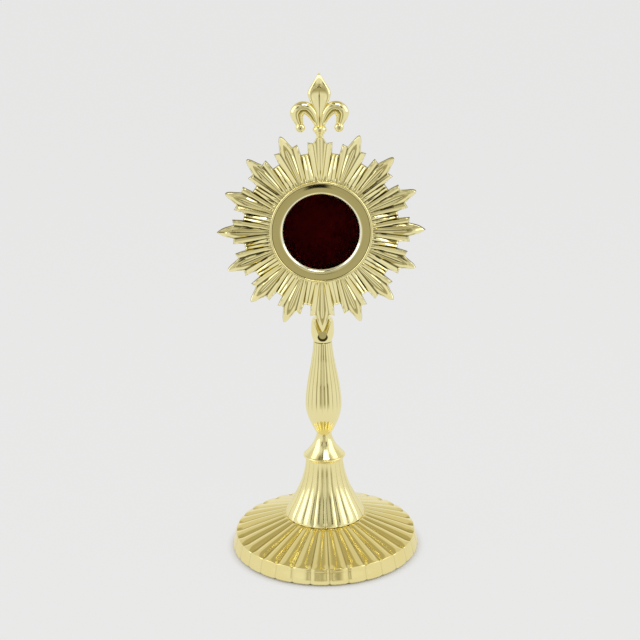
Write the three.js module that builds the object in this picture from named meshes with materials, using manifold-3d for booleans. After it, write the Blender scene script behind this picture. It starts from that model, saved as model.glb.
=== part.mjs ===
// Reliquary monstrance: a gilt brass sunburst with a glazed round case, on a
// fluted stem and a gadrooned foot, topped by a fleur-de-lis.
// Millimetres, +Z up, the front faces -Y. The origin is on the stem's axis, on
// the plane that the foot's felt rests on.
import * as THREE from "three";
import { mergeVertices } from "three/addons/utils/BufferGeometryUtils.js";
import Module from "manifold-3d";

const wasm = await Module();
wasm.setup();

// Fits
const GAP = 0.3; // clearance between neighbouring pieces
const OVERRUN = 1; // how far a cutting tool passes the face that it cuts

// Foot
const FELT_THICKNESS = 0.8;
const FELT_INSET = 0.5; // inside the grooves of the foot's edge
const FOOT_RIM_RADIUS = 43.8;
const FOOT_SHOULDER_RADIUS = 42.1;
const FOOT_SHOULDER_HEIGHT = 7.9;
const FOOT_HEIGHT = 15.9;
const FOOT_WALL = 2.4;
const FOOT_LOBES = 32;
const FOOT_TURN = 1.9; // degrees from the front to the nearest groove
const FOOT_GROOVE_SHARE = 0.075; // depth as a share of the pitch from one groove to the next
const FOOT_CROWN_LIP = 0.7;

// Stem
const FLUTES = 20;
const BELL_TURN = 0;
const KNOP_TURN = -5;
const FLUTE_SHARE = 0.11; // depth as a share of the pitch from one flute to the next
const BELL_FOOT_RADIUS = 18.5;
const BELL_NECK_RADIUS = 8.6;
const BELL_HEIGHT = 27.9;
const BELL_LIP = 0.7;
const BELL_WALL = 1.6;
const COLLAR_SKIRT_RADIUS = 9;
const COLLAR_SKIRT_HEIGHT = 0.7;
const COLLAR_FLANGE_RADIUS = 9.7;
const COLLAR_FLANGE_HEIGHT = 1.4;
const COLLAR_HEIGHT = 12.2;
const NECK_RADIUS = 3.4;
const KNOP_RADIUS = 8.3;
const KNOP_BELLY_HEIGHT = 14;
const KNOP_HEIGHT = 44.4;
const KNOP_TOP_RADIUS = 4.25;

// Tie rod through the stem
const ROD_RADIUS = 2;
const ROD_HOLE_RADIUS = ROD_RADIUS + GAP;
const ROD_TAIL = 1.4; // rod standing below the nut
const ROD_BITE = 5.5; // rod inside the calyx
const WASHER_RADIUS = 6;
const WASHER_THICKNESS = 1;
const NUT_ACROSS_FLATS = 7;
const NUT_HEIGHT = 3.2;

// Calyx, the socket that carries the sunburst
const CALYX_RADIUS = 5.2;
const CALYX_BELLY_HEIGHT = 4.8;
const CALYX_DOME_HEIGHT = 11;
const TANG_WIDTH = 6;
const TANG_THICKNESS = 2.6;
const RAY_TIP_ABOVE_CALYX = 4.8; // from the calyx's bottom edge to the lowest ray tip

// Sunburst
const RAY_GROUPS = 16;
const PLATE_BACK = -2.8; // Y of the flat back
const PLATE_THICKNESS = 1;
const RAY_RELIEF = 1.2; // crest above the plate at the hub
const TIP_RELIEF = 0.4; // crest above the plate at the tips
const HUB_THICKNESS = 2;
const HUB_RADIUS = 23.2;
const HUB_HOLE_RADIUS = 21.2;
const RAY_START = 0.6; // from the hub's edge to the full relief
const SIDE_TIP_RADIUS = 39.1;
const SHOULDER_RADIUS = 38.5;
const NOTCH_RADIUS = 34.3;
// The centre leaf of a group ends in a tip, with a cheek on each side of it
const MAIN_TIP_RADIUS = 44.8;
const MAIN_CHEEK_RADIUS = 42.8;
const MAIN_CHEEK_HALF_WIDTH = 1.5;
const BOTTOM_TIP_RADIUS = 46.8;
const SPEAR_TIP_RADIUS = 45.6;
const SPEAR_CHEEK_RADIUS = 43;
const SPEAR_CHEEK_HALF_WIDTH = 1.7;
const TOP_RAY_RADIUS = 41.1; // where the finial takes over
const TOP_RAY_HALF_WIDTH = 1.6;
// Degrees from a group's axis, at the hub and at the rim
const LEAF_HUB_ANGLE = 2.2;
const LEAF_ANGLE = 4.5;
const SIDE_TIP_HUB_ANGLE = 6.2;
const SIDE_TIP_ANGLE = 8;
const NOTCH_HUB_ANGLE = 6.8;
const NOTCH_ANGLE = 8.6;

// Finial, measured from the end of the top ray
const FINIAL_HALF_DEPTH = 2.2;
const FINIAL_RING_RADIUS = 3.1;
const FINIAL_RING_HEIGHT = 3;
const FINIAL_RING_RISE = 1.7;
const PETAL_HALF_WIDTH = 4.95;
const PETAL_WIDEST = 18.3;
const PETAL_TIP = 27.3;
const PETAL_ROOT = 1; // how far the petals start below the ring's top
const SIDE_PETAL_REACH = 12.3;
const SIDE_PETAL_RISE = 15.1;
const SIDE_PETAL_HALF_WIDTH = 2.65;
const SIDE_BALL_RADIUS = 1.95;
const FINIAL_TANG_LENGTH = 11;
const FINIAL_TANG_THICKNESS = 1.5;

// Bezel, glass and retaining ring
const WINDOW_RADIUS = 16.65;
const WINDOW_BEVEL = 0.9;
const BEZEL_RADIUS = 22.5;
const BEZEL_BEAD = 1;
const BEZEL_BEAD_HEIGHT = 0.35;
const BEZEL_PROUD = 3.2; // face in front of the hub
const BEZEL_LIP = 1.3;
const BARREL_WALL = 2.5;
const GLASS_THICKNESS = 1.5;
const RETAINER_THICKNESS = 1.2;
const RETAINER_WIDTH = 1.2;

// Case behind the sunburst
const CASE_RADIUS = 24;
const CASE_WALL = 1.4;
const CASE_DEPTH = 11;
const CASE_FLANGE_RADIUS = 28;
const CASE_FLANGE_THICKNESS = 1;

// Rear door and its hinge
const DOOR_RADIUS = 24.2;
const DOOR_THICKNESS = 1.4;
const DOOR_RIM_WIDTH = 2.8;
const DOOR_RIM_HEIGHT = 0.4; // the raised rim round the door's outside
const DOOR_SPIGOT_DEPTH = 2.3;
const DOOR_SPIGOT_WALL = 1.2;
const VELVET_THICKNESS = 2.6;
const VELVET_CROWN = 1; // how far the middle stands in front of the edge
const HINGE_REACH = 2.2; // from the case's wall to the pin's axis
const KNUCKLE_RADIUS = 1.5;
const KNUCKLE_BEHIND_CASE = 0.4; // pin's axis behind the case's rear edge
const DOOR_KNUCKLE_LENGTH = 4.8;
const CASE_KNUCKLE_LENGTH = 3.5;
const PIN_RADIUS = 0.7;
const PIN_HEAD_RADIUS = 1.1;
const PIN_HEAD_HEIGHT = 0.6;
const LEAF_DEPTH = 5;
const TAB_WIDTH = 6;
const TAB_REACH = 4;
const TAB_LIP = 1.3;
const CATCH_WIDTH = 4;
const CATCH_LENGTH = 3.6;
const CATCH_STRIP = 0.5;
const CATCH_FOOT = 2; // the leg under the tab
const CATCH_BUMP = 1.2; // half the height of the bump

// Screws
const SCREW_HEAD_RADIUS = 1.7;
const SCREW_HEAD_HEIGHT = 1.1;
const SCREW_SHANK_RADIUS = 0.8;
const SCREW_BITE = 0.7; // depth of the shank in the sunburst
const SCREW_CLEARANCE = 0.15;
const CASE_SCREWS = 4;
const TANG_SCREW_PITCH = 6.5;
const TANG_SCREW_EDGE = 2.6; // from the tang's end to the first screw
const FINIAL_SCREW_DROP = 8; // below the end of the top ray

// Facets
const ROUND = 40;
const ROUND_STEM = 32;
const ROUND_SMALL = 24;
const ROUND_SCREW = 8;
const STEPS_PER_LOBE = 4;

// Levels up the stem and across the head
const bellBottom = FOOT_HEIGHT;
const collarBottom = bellBottom + BELL_HEIGHT;
const knopBottom = collarBottom + COLLAR_HEIGHT;
const calyxBottom = knopBottom + KNOP_HEIGHT;
const centreHeight = calyxBottom + RAY_TIP_ABOVE_CALYX + BOTTOM_TIP_RADIUS;
const finialBase = centreHeight + TOP_RAY_RADIUS;
const hubFace = PLATE_BACK - HUB_THICKNESS;
const caseRear = PLATE_BACK + CASE_DEPTH;
const caseBore = CASE_RADIUS - CASE_WALL;
const doorFace = caseRear + GAP;
const hingeX = CASE_RADIUS + HINGE_REACH;
const hingeY = caseRear + KNUCKLE_BEHIND_CASE;
const barrelRadius = HUB_HOLE_RADIUS - GAP;
const glassRadius = barrelRadius - BARREL_WALL;
const glassFront = hubFace - BEZEL_PROUD + BEZEL_LIP + GAP;
const caseScrewRadius = (CASE_RADIUS + CASE_FLANGE_RADIUS) / 2;
const tangTop = centreHeight - CASE_FLANGE_RADIUS - GAP;

function finish(color, roughness, metalness) {
  return new THREE.MeshStandardMaterial({ color, roughness, metalness });
}

const brass = finish(0xe3cf80, 0.16, 1);
const innerBrass = finish(0xb39a55, 0.35, 1);
const steel = finish(0x9a9c9e, 0.35, 1);
const velvet = finish(0x4a0a10, 1, 0);
const felt = finish(0x1c1f1c, 1, 0);
const glass = finish(0xe8f0f0, 0.02, 0);
glass.transparent = true;
glass.opacity = 0.25;

const degrees = THREE.MathUtils.degToRad;
const point = (x, y) => new THREE.Vector2(x, y);

// Joining and cutting

function solid(geometry) {
  const bare = geometry.clone();
  bare.deleteAttribute("normal");
  bare.deleteAttribute("uv");
  const merged = mergeVertices(bare, 1e-4);
  const mesh = new wasm.Mesh({
    numProp: 3,
    vertProperties: merged.attributes.position.array,
    triVerts: new Uint32Array(merged.index.array),
  });
  return new wasm.Manifold(mesh);
}

function skin(body) {
  const mesh = body.getMesh();
  const geometry = new THREE.BufferGeometry();
  geometry.setAttribute("position", new THREE.BufferAttribute(mesh.vertProperties, 3));
  geometry.setIndex(new THREE.BufferAttribute(mesh.triVerts, 1));
  geometry.computeVertexNormals();
  return geometry;
}

const joined = (...parts) => parts.map(solid).reduce((whole, part) => whole.add(part));
const cut = (body, ...tools) => tools.map(solid).reduce((whole, tool) => whole.subtract(tool), body);

// Basic forms

// A profile of (radius, height) points turned about the upright axis.
function turned(profile, segments = ROUND) {
  return new THREE.LatheGeometry(profile, segments).rotateX(Math.PI / 2);
}

// A profile of (radius, y) points, read from the front to the back, turned about the case's axis.
function turnedOnCase(profile, segments = ROUND) {
  return new THREE.LatheGeometry(profile, segments).translate(0, 0, centreHeight);
}

// A closed profile for a flat ring.
function ring(inner, outer, low, high) {
  return [point(inner, low), point(outer, low), point(outer, high), point(inner, high), point(inner, low)];
}

function disc(radius, low, high) {
  return [point(0, low), point(radius, low), point(radius, high), point(0, high)];
}

function block(width, depth, height, x, y, z) {
  return new THREE.BoxGeometry(width, depth, height).translate(x, y, z);
}

function rodAlongZ(radius, bottom, top, x = 0, y = 0, segments = ROUND_SMALL) {
  return new THREE.CylinderGeometry(radius, radius, top - bottom, segments)
    .rotateX(Math.PI / 2)
    .translate(x, y, (bottom + top) / 2);
}

function rodAlongY(radius, front, back, x, z) {
  const rod = new THREE.CylinderGeometry(radius, radius, back - front, ROUND_SCREW);
  return rod.translate(x, (front + back) / 2, z);
}

// Rounded lobes with sharp grooves between them: 0 on a crest, 1 in a groove.
function grooveAt(angle, lobes) {
  const phase = (angle * lobes) / (2 * Math.PI);
  const fromGroove = Math.abs(phase - Math.round(phase));
  return (1 - 2 * fromGroove) ** 2;
}

// A solid turned about the upright axis, whose wall is drawn in along its normal between the lobes.
// Its bottom edge stays level, and so does the top edge of a wall without a crown above it.
function lobed(wall, crown, lobes, grooveShare, turnDegrees) {
  const top = [...wall, ...crown].at(-1).y;
  const profile = [point(0, wall[0].y), ...wall, ...crown, point(0, top)];
  const geometry = new THREE.LatheGeometry(profile, lobes * STEPS_PER_LOBE);
  const position = geometry.attributes.position;
  const normals = wall.map((_, i) => wallNormal(wall, i));
  normals[0] = point(1, 0);
  if (!crown.length) normals[wall.length - 1] = point(1, 0);
  const turn = degrees(turnDegrees);
  for (let i = 0; i < position.count; i++) {
    const row = i % profile.length;
    const angle = (2 * Math.PI * Math.floor(i / profile.length)) / (lobes * STEPS_PER_LOBE);
    let { x: radius, y: height } = profile[row];
    if (row > 0 && row <= wall.length) {
      const pitch = (2 * Math.PI * radius) / lobes;
      const pull = grooveShare * pitch * grooveAt(angle, lobes);
      radius -= normals[row - 1].x * pull;
      height -= normals[row - 1].y * pull;
    }
    position.setXYZ(i, radius * Math.sin(angle + turn), -radius * Math.cos(angle + turn), height);
  }
  return geometry;
}

function wallNormal(wall, i) {
  const before = wall[Math.max(i - 1, 0)];
  const after = wall[Math.min(i + 1, wall.length - 1)];
  const here = wall[i];
  const side = (a, b) => point(b.y - a.y, a.x - b.x).normalize();
  const normal = point(0, 0);
  if (before !== here) normal.add(side(before, here));
  if (after !== here) normal.add(side(here, after));
  return normal.normalize();
}

function curve(from, pull, push, to, steps) {
  return new THREE.CubicBezierCurve(from, pull, push, to).getPoints(steps);
}

// Foot

function footShell() {
  const wall = [
    point(FOOT_RIM_RADIUS, FELT_THICKNESS),
    point(FOOT_SHOULDER_RADIUS, FOOT_SHOULDER_HEIGHT),
    point(BELL_FOOT_RADIUS + FOOT_CROWN_LIP, FOOT_HEIGHT - FOOT_CROWN_LIP / 3),
  ];
  const crown = [point(BELL_FOOT_RADIUS - FOOT_CROWN_LIP, FOOT_HEIGHT)];
  const ceiling = FOOT_HEIGHT - FOOT_WALL;
  const hollow = [
    point(0, FELT_THICKNESS - OVERRUN),
    point(FOOT_RIM_RADIUS - FOOT_WALL, FELT_THICKNESS - OVERRUN),
    point(FOOT_RIM_RADIUS - FOOT_WALL, FELT_THICKNESS),
    point(FOOT_SHOULDER_RADIUS - FOOT_WALL, FOOT_SHOULDER_HEIGHT - FOOT_WALL),
    point(BELL_FOOT_RADIUS - FOOT_WALL, ceiling),
    point(ROD_HOLE_RADIUS, ceiling),
    point(ROD_HOLE_RADIUS, FOOT_HEIGHT + OVERRUN),
    point(0, FOOT_HEIGHT + OVERRUN),
  ];
  const outside = lobed(wall, crown, FOOT_LOBES, FOOT_GROOVE_SHARE, FOOT_TURN);
  return skin(cut(solid(outside), turned(hollow, FOOT_LOBES)));
}

function feltPad() {
  const grooveDepth = (FOOT_GROOVE_SHARE * 2 * Math.PI * FOOT_RIM_RADIUS) / FOOT_LOBES;
  return turned(disc(FOOT_RIM_RADIUS - grooveDepth - FELT_INSET, 0, FELT_THICKNESS));
}

// Stem

function bell() {
  const top = bellBottom + BELL_HEIGHT;
  const foot = point(BELL_FOOT_RADIUS, bellBottom + BELL_LIP);
  const flare = curve(
    foot,
    point(0.87 * BELL_FOOT_RADIUS, bellBottom + 0.25 * BELL_HEIGHT),
    point(1.1 * BELL_NECK_RADIUS, bellBottom + 0.5 * BELL_HEIGHT),
    point(BELL_NECK_RADIUS, top),
    6,
  );
  const waist = flare[3];
  const ceiling = top - BELL_WALL;
  const hollow = [
    point(0, bellBottom - OVERRUN),
    point(BELL_FOOT_RADIUS - BELL_WALL, bellBottom - OVERRUN),
    point(BELL_FOOT_RADIUS - BELL_WALL, bellBottom),
    point(waist.x - BELL_WALL, waist.y),
    point(BELL_NECK_RADIUS - BELL_WALL, ceiling),
    point(ROD_HOLE_RADIUS, ceiling),
    point(ROD_HOLE_RADIUS, top + OVERRUN),
    point(0, top + OVERRUN),
  ];
  const wall = [point(BELL_FOOT_RADIUS, bellBottom), ...flare];
  const outside = lobed(wall, [], FLUTES, FLUTE_SHARE, BELL_TURN);
  return skin(cut(solid(outside), turned(hollow, ROUND_SMALL)));
}

function collar() {
  const skirtTop = collarBottom + COLLAR_SKIRT_HEIGHT;
  const flangeTop = skirtTop + COLLAR_FLANGE_HEIGHT;
  const top = collarBottom + COLLAR_HEIGHT;
  const coneHeight = top - flangeTop;
  const cone = curve(
    point(0.95 * COLLAR_FLANGE_RADIUS, flangeTop),
    point(0.76 * COLLAR_FLANGE_RADIUS, flangeTop + 0.2 * coneHeight),
    point(1.15 * NECK_RADIUS, flangeTop + 0.55 * coneHeight),
    point(NECK_RADIUS, top),
    6,
  );
  return turned(
    [
      point(ROD_HOLE_RADIUS, collarBottom),
      point(COLLAR_SKIRT_RADIUS, collarBottom),
      point(COLLAR_SKIRT_RADIUS, skirtTop),
      point(COLLAR_FLANGE_RADIUS, skirtTop + 0.3 * COLLAR_FLANGE_HEIGHT),
      point(COLLAR_FLANGE_RADIUS, skirtTop + 0.7 * COLLAR_FLANGE_HEIGHT),
      ...cone,
      point(ROD_HOLE_RADIUS, top),
      point(ROD_HOLE_RADIUS, collarBottom),
    ],
    ROUND_STEM,
  );
}

function knop() {
  const top = knopBottom + KNOP_HEIGHT;
  const belly = knopBottom + KNOP_BELLY_HEIGHT;
  const shoulder = top - belly;
  const lower = curve(
    point(NECK_RADIUS, knopBottom),
    point(1.53 * NECK_RADIUS, knopBottom + 0.24 * KNOP_BELLY_HEIGHT),
    point(0.98 * KNOP_RADIUS, knopBottom + 0.6 * KNOP_BELLY_HEIGHT),
    point(KNOP_RADIUS, belly),
    4,
  );
  const upper = curve(
    point(KNOP_RADIUS, belly),
    point(KNOP_RADIUS, belly + 0.36 * shoulder),
    point(1.13 * KNOP_TOP_RADIUS, belly + 0.65 * shoulder),
    point(KNOP_TOP_RADIUS, top),
    6,
  );
  const outside = lobed([...lower, ...upper.slice(1)], [], FLUTES, FLUTE_SHARE, KNOP_TURN);
  return skin(cut(solid(outside), rodAlongZ(ROD_HOLE_RADIUS, knopBottom - OVERRUN, top + OVERRUN)));
}

function tieRod() {
  const nutBottom = FOOT_HEIGHT - FOOT_WALL - WASHER_THICKNESS - NUT_HEIGHT;
  return rodAlongZ(ROD_RADIUS, nutBottom - ROD_TAIL, calyxBottom + ROD_BITE);
}

function rodWasher() {
  const top = FOOT_HEIGHT - FOOT_WALL;
  const inner = ROD_HOLE_RADIUS;
  return turned(ring(inner, WASHER_RADIUS, top - WASHER_THICKNESS, top), ROUND_SMALL);
}

function rodNut() {
  const top = FOOT_HEIGHT - FOOT_WALL - WASHER_THICKNESS;
  const corner = NUT_ACROSS_FLATS / Math.sqrt(3);
  const body = solid(rodAlongZ(corner, top - NUT_HEIGHT, top, 0, 0, 6));
  return skin(cut(body, rodAlongZ(ROD_HOLE_RADIUS, top - NUT_HEIGHT - OVERRUN, top + OVERRUN)));
}

// A bulb with a blind hole for the rod, a pocket for the lowest ray, and a tang behind the sunburst.
function calyx() {
  const holeTop = calyxBottom + ROD_BITE + GAP;
  const belly = calyxBottom + CALYX_BELLY_HEIGHT;
  const top = calyxBottom + CALYX_DOME_HEIGHT;
  const bulb = curve(
    point(KNOP_TOP_RADIUS + 0.1, calyxBottom),
    point(KNOP_TOP_RADIUS + 0.5, calyxBottom + 0.4 * CALYX_BELLY_HEIGHT),
    point(CALYX_RADIUS, calyxBottom + 0.6 * CALYX_BELLY_HEIGHT),
    point(CALYX_RADIUS, belly),
    4,
  );
  const dome = curve(
    point(CALYX_RADIUS, belly),
    point(CALYX_RADIUS, belly + 0.42 * (top - belly)),
    point(0.88 * CALYX_RADIUS, top),
    point(0, top),
    6,
  );
  const profile = [
    point(0, holeTop),
    point(ROD_HOLE_RADIUS, holeTop),
    point(ROD_HOLE_RADIUS, calyxBottom),
    ...bulb,
    ...dome.slice(1),
  ];
  const tangBottom = holeTop + GAP;
  const tangY = PLATE_BACK + TANG_THICKNESS / 2;
  const tang = block(TANG_WIDTH, TANG_THICKNESS, tangTop - tangBottom, 0, tangY, (tangTop + tangBottom) / 2);
  const holes = tangScrewHeights().map((z) => screwHole(0, z, PLATE_BACK + TANG_THICKNESS));
  return skin(cut(joined(turned(profile, ROUND_STEM), tang), rayPocket(), ...holes));
}

// The space of the lowest ray's end, with clearance all round and open to the front.
function rayPocket() {
  const { tip, cheek, halfWidth } = leafEnd(RAY_GROUPS / 2);
  const shoulder = SHOULDER_RADIUS * Math.sin(degrees(LEAF_ANGLE)) + GAP;
  const outer = shoulder + CALYX_RADIUS;
  const right = [
    point(halfWidth + GAP, centreHeight - cheek - GAP),
    point(shoulder, centreHeight - SHOULDER_RADIUS),
    point(outer, centreHeight - SHOULDER_RADIUS),
    point(outer, centreHeight - SHOULDER_RADIUS + CALYX_DOME_HEIGHT),
  ];
  const left = right.map(({ x, y }) => point(-x, y)).reverse();
  const outline = new THREE.Shape([point(0, centreHeight - tip - 2 * GAP), ...right, ...left]);
  return new THREE.ExtrudeGeometry(outline, { depth: CALYX_RADIUS, bevelEnabled: false })
    .rotateX(Math.PI / 2)
    .translate(0, PLATE_BACK, 0);
}

// Sunburst

// The end of a group's centre leaf: its tip, and the cheek beside it.
function leafEnd(group) {
  const quarter = RAY_GROUPS / 4;
  const straight = (tip) => ({ tip, cheek: MAIN_CHEEK_RADIUS, halfWidth: MAIN_CHEEK_HALF_WIDTH });
  if (group === 0) return { tip: TOP_RAY_RADIUS, cheek: TOP_RAY_RADIUS, halfWidth: TOP_RAY_HALF_WIDTH };
  if (group === 2 * quarter) return straight(BOTTOM_TIP_RADIUS);
  if (group % quarter) return straight(MAIN_TIP_RADIUS);
  return { tip: SPEAR_TIP_RADIUS, cheek: SPEAR_CHEEK_RADIUS, halfWidth: SPEAR_CHEEK_HALF_WIDTH };
}

// Ridges and valleys from a group's axis to halfway to the next group. Each has its angle at the
// hub and at the rim, how far it reaches, and its height above the plate at both ends.
function halfGroup({ tip, cheek, halfWidth }) {
  const half = 180 / RAY_GROUPS;
  const cheekAngle = THREE.MathUtils.radToDeg(Math.asin(halfWidth / cheek));
  const middle = (a, b) => (a + b) / 2;
  const ridge = { inner: RAY_RELIEF, outer: TIP_RELIEF };
  const crease = { inner: RAY_RELIEF / 2, outer: TIP_RELIEF / 2 };
  const valley = { inner: 0, outer: 0 };
  return [
    { hub: 0, angle: 0, reach: tip, ...crease },
    { hub: 0.7 * LEAF_HUB_ANGLE, angle: cheekAngle, reach: cheek, ...ridge },
    { hub: LEAF_HUB_ANGLE, angle: LEAF_ANGLE, reach: SHOULDER_RADIUS, ...valley },
    {
      hub: middle(LEAF_HUB_ANGLE, SIDE_TIP_HUB_ANGLE),
      angle: middle(LEAF_ANGLE, SIDE_TIP_ANGLE),
      reach: middle(SHOULDER_RADIUS, SIDE_TIP_RADIUS),
      ...ridge,
    },
    { hub: SIDE_TIP_HUB_ANGLE, angle: SIDE_TIP_ANGLE, reach: SIDE_TIP_RADIUS, ...crease },
    { hub: NOTCH_HUB_ANGLE, angle: NOTCH_ANGLE, reach: NOTCH_RADIUS, ...valley },
    { hub: middle(NOTCH_HUB_ANGLE, half), angle: middle(NOTCH_ANGLE, half), reach: NOTCH_RADIUS, ...ridge },
    { hub: half, angle: half, reach: NOTCH_RADIUS, ...valley },
  ];
}

// Every station round the sunburst, clockwise from the top as seen from the front.
function rayStations() {
  const stations = [];
  for (let k = 0; k < RAY_GROUPS; k++) {
    const half = halfGroup(leafEnd(k));
    const mirrored = half.slice(1, -1).reverse().map((s) => ({ ...s, hub: -s.hub, angle: -s.angle }));
    const turn = (360 * k) / RAY_GROUPS;
    for (const s of [...mirrored, ...half]) stations.push({ ...s, hub: s.hub + turn, angle: s.angle + turn });
  }
  return stations;
}

// The plate as rings of points, one after the other round its section: the back's edge, the hole's
// back and front edges, the hub's edge, the rays' roots and their ends.
function sunburst() {
  const stations = rayStations();
  const rings = [
    (s) => [s.angle, s.reach, 0],
    (s) => [s.hub, HUB_HOLE_RADIUS, 0],
    (s) => [s.hub, HUB_HOLE_RADIUS, HUB_THICKNESS],
    (s) => [s.hub, HUB_RADIUS, HUB_THICKNESS],
    (s) => [s.hub, HUB_RADIUS + RAY_START, PLATE_THICKNESS + s.inner],
    (s) => [s.angle, s.reach, PLATE_THICKNESS + s.outer],
  ];
  const positions = [];
  for (const s of stations) {
    for (const place of rings) {
      const [angle, radius, thickness] = place(s);
      const a = degrees(angle);
      positions.push(radius * Math.sin(a), PLATE_BACK - thickness, centreHeight + radius * Math.cos(a));
    }
  }
  const index = [];
  const n = rings.length;
  for (let i = 0; i < stations.length; i++) {
    const next = (i + 1) % stations.length;
    for (let j = 0; j < n; j++) {
      const k = (j + 1) % n;
      index.push(i * n + j, next * n + j, i * n + k, next * n + j, next * n + k, i * n + k);
    }
  }
  const geometry = new THREE.BufferGeometry();
  geometry.setAttribute("position", new THREE.Float32BufferAttribute(positions, 3));
  geometry.setIndex(index);
  return skin(cut(solid(geometry), ...plateScrewPlaces().map(([x, z]) => screwHole(x, z, PLATE_BACK))));
}

// Finial

// A flattened tube along a curve in the XZ plane, round at both ends.
function tapered(points, radii, halfDepth) {
  const path = new THREE.CatmullRomCurve3(points);
  const steps = 10;
  const sides = 8;
  const widest = Math.max(...radii);
  const positions = [];
  for (let i = 0; i <= steps; i++) {
    const t = i / steps;
    const centre = path.getPoint(t);
    const along = path.getTangent(t);
    const across = new THREE.Vector3(along.z, 0, -along.x);
    const at = t * (radii.length - 1);
    const low = Math.min(Math.floor(at), radii.length - 2);
    const radius = THREE.MathUtils.lerp(radii[low], radii[low + 1], at - low);
    for (let j = 0; j < sides; j++) {
      const a = (2 * Math.PI * j) / sides;
      const p = centre.clone().addScaledVector(across, radius * Math.cos(a));
      positions.push(p.x, p.y + (halfDepth * radius * Math.sin(a)) / widest, p.z);
    }
  }
  const index = [];
  for (let i = 0; i < steps; i++) {
    for (let j = 0; j < sides; j++) {
      const a = i * sides + j;
      const b = i * sides + ((j + 1) % sides);
      index.push(a, b, a + sides, b, b + sides, a + sides);
    }
  }
  for (let j = 1; j < sides - 1; j++) {
    const last = steps * sides;
    index.push(0, j + 1, j, last, last + j, last + j + 1);
  }
  const geometry = new THREE.BufferGeometry();
  geometry.setAttribute("position", new THREE.Float32BufferAttribute(positions, 3));
  geometry.setIndex(index);
  return geometry;
}

// A side petal: out of the stem, up and over, and down to a ball. side is 1 or -1. Its middle line is
// given as shares of the petal's reach and rise, with its width there as a share of the widest.
function sidePetal(side, y) {
  const reach = SIDE_PETAL_REACH - SIDE_PETAL_HALF_WIDTH;
  const rise = SIDE_PETAL_RISE - SIDE_PETAL_HALF_WIDTH;
  const stations = [
    [0.16, 0.51, 0.49],
    [0.33, 0.81, 0.87],
    [0.55, 0.98, 0.98],
    [0.81, 1, 1],
    [1, 0.87, 1],
    [0.97, 0.71, 0.87],
    [0.92, 0.57, 0.72],
    [0.87, 0.46, 0.6],
  ];
  if (side < 0) stations.reverse();
  const route = stations.map(([x, z]) => new THREE.Vector3(side * x * reach, y, finialBase + z * rise));
  const widths = stations.map(([, , share]) => share * SIDE_PETAL_HALF_WIDTH);
  const ball = new THREE.SphereGeometry(SIDE_BALL_RADIUS, 10, 8);
  ball.translate(side * 0.85 * reach, y, finialBase + 0.33 * rise);
  return [tapered(route, widths, 0.8 * FINIAL_HALF_DEPTH), ball];
}

// The middle petal, a flattened leaf that starts inside the ring.
function middlePetal(y) {
  const root = finialBase + FINIAL_RING_RISE + FINIAL_RING_HEIGHT - PETAL_ROOT;
  const widest = finialBase + PETAL_WIDEST;
  const tip = finialBase + PETAL_TIP;
  const flare = curve(
    point(TOP_RAY_HALF_WIDTH, root),
    point(TOP_RAY_HALF_WIDTH, root + 0.35 * (widest - root)),
    point(PETAL_HALF_WIDTH, root + 0.65 * (widest - root)),
    point(PETAL_HALF_WIDTH, widest),
    5,
  );
  const end = curve(
    point(PETAL_HALF_WIDTH, widest),
    point(PETAL_HALF_WIDTH, widest + 0.45 * (tip - widest)),
    point(0.3 * PETAL_HALF_WIDTH, widest + 0.74 * (tip - widest)),
    point(0, tip),
    5,
  );
  const leaf = turned([point(0, root), ...flare, ...end.slice(1)], 12);
  return leaf.scale(1, FINIAL_HALF_DEPTH / PETAL_HALF_WIDTH, 1).translate(0, y, 0);
}

function finialRing(y) {
  const bottom = finialBase + FINIAL_RING_RISE;
  const band = turned([
    point(0, bottom),
    point(0.8 * FINIAL_RING_RADIUS, bottom),
    point(FINIAL_RING_RADIUS, bottom + 0.3 * FINIAL_RING_HEIGHT),
    point(FINIAL_RING_RADIUS, bottom + 0.7 * FINIAL_RING_HEIGHT),
    point(0.8 * FINIAL_RING_RADIUS, bottom + FINIAL_RING_HEIGHT),
    point(0, bottom + FINIAL_RING_HEIGHT),
  ], 16);
  return band.scale(1, 0.85, 1).translate(0, y, 0);
}

// The fleur-de-lis, with a short neck on the top ray and a tang behind it.
function finial() {
  const y = PLATE_BACK - PLATE_THICKNESS;
  const ringMiddle = finialBase + FINIAL_RING_RISE + FINIAL_RING_HEIGHT / 2;
  const neckWidth = 2 * TOP_RAY_HALF_WIDTH;
  const neckHeight = ringMiddle - finialBase - GAP;
  const neck = block(neckWidth, 2 * PLATE_THICKNESS, neckHeight, 0, y, ringMiddle - neckHeight / 2);
  const tangHeight = ringMiddle - finialBase + FINIAL_TANG_LENGTH;
  const tangY = PLATE_BACK + FINIAL_TANG_THICKNESS / 2;
  const tang = block(neckWidth, FINIAL_TANG_THICKNESS, tangHeight, 0, tangY, ringMiddle - tangHeight / 2);
  const whole = joined(middlePetal(y), finialRing(y), neck, tang, ...sidePetal(1, y), ...sidePetal(-1, y));
  return skin(cut(whole, screwHole(0, finialScrewHeight(), PLATE_BACK + FINIAL_TANG_THICKNESS)));
}

// Bezel, glass and retaining ring

function bezel() {
  const face = hubFace - BEZEL_PROUD;
  const flat = face + BEZEL_BEAD_HEIGHT;
  return turnedOnCase([
    point(WINDOW_RADIUS, face + BEZEL_LIP),
    point(WINDOW_RADIUS, flat + WINDOW_BEVEL),
    point(WINDOW_RADIUS + WINDOW_BEVEL, flat),
    point(BEZEL_RADIUS - BEZEL_BEAD, flat),
    point(BEZEL_RADIUS - 0.7 * BEZEL_BEAD, face),
    point(BEZEL_RADIUS - 0.3 * BEZEL_BEAD, face),
    point(BEZEL_RADIUS, flat),
    point(BEZEL_RADIUS, hubFace),
    point(barrelRadius, hubFace),
    point(barrelRadius, PLATE_BACK),
    point(glassRadius + GAP, PLATE_BACK),
    point(glassRadius + GAP, face + BEZEL_LIP),
    point(WINDOW_RADIUS, face + BEZEL_LIP),
  ]);
}

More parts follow.
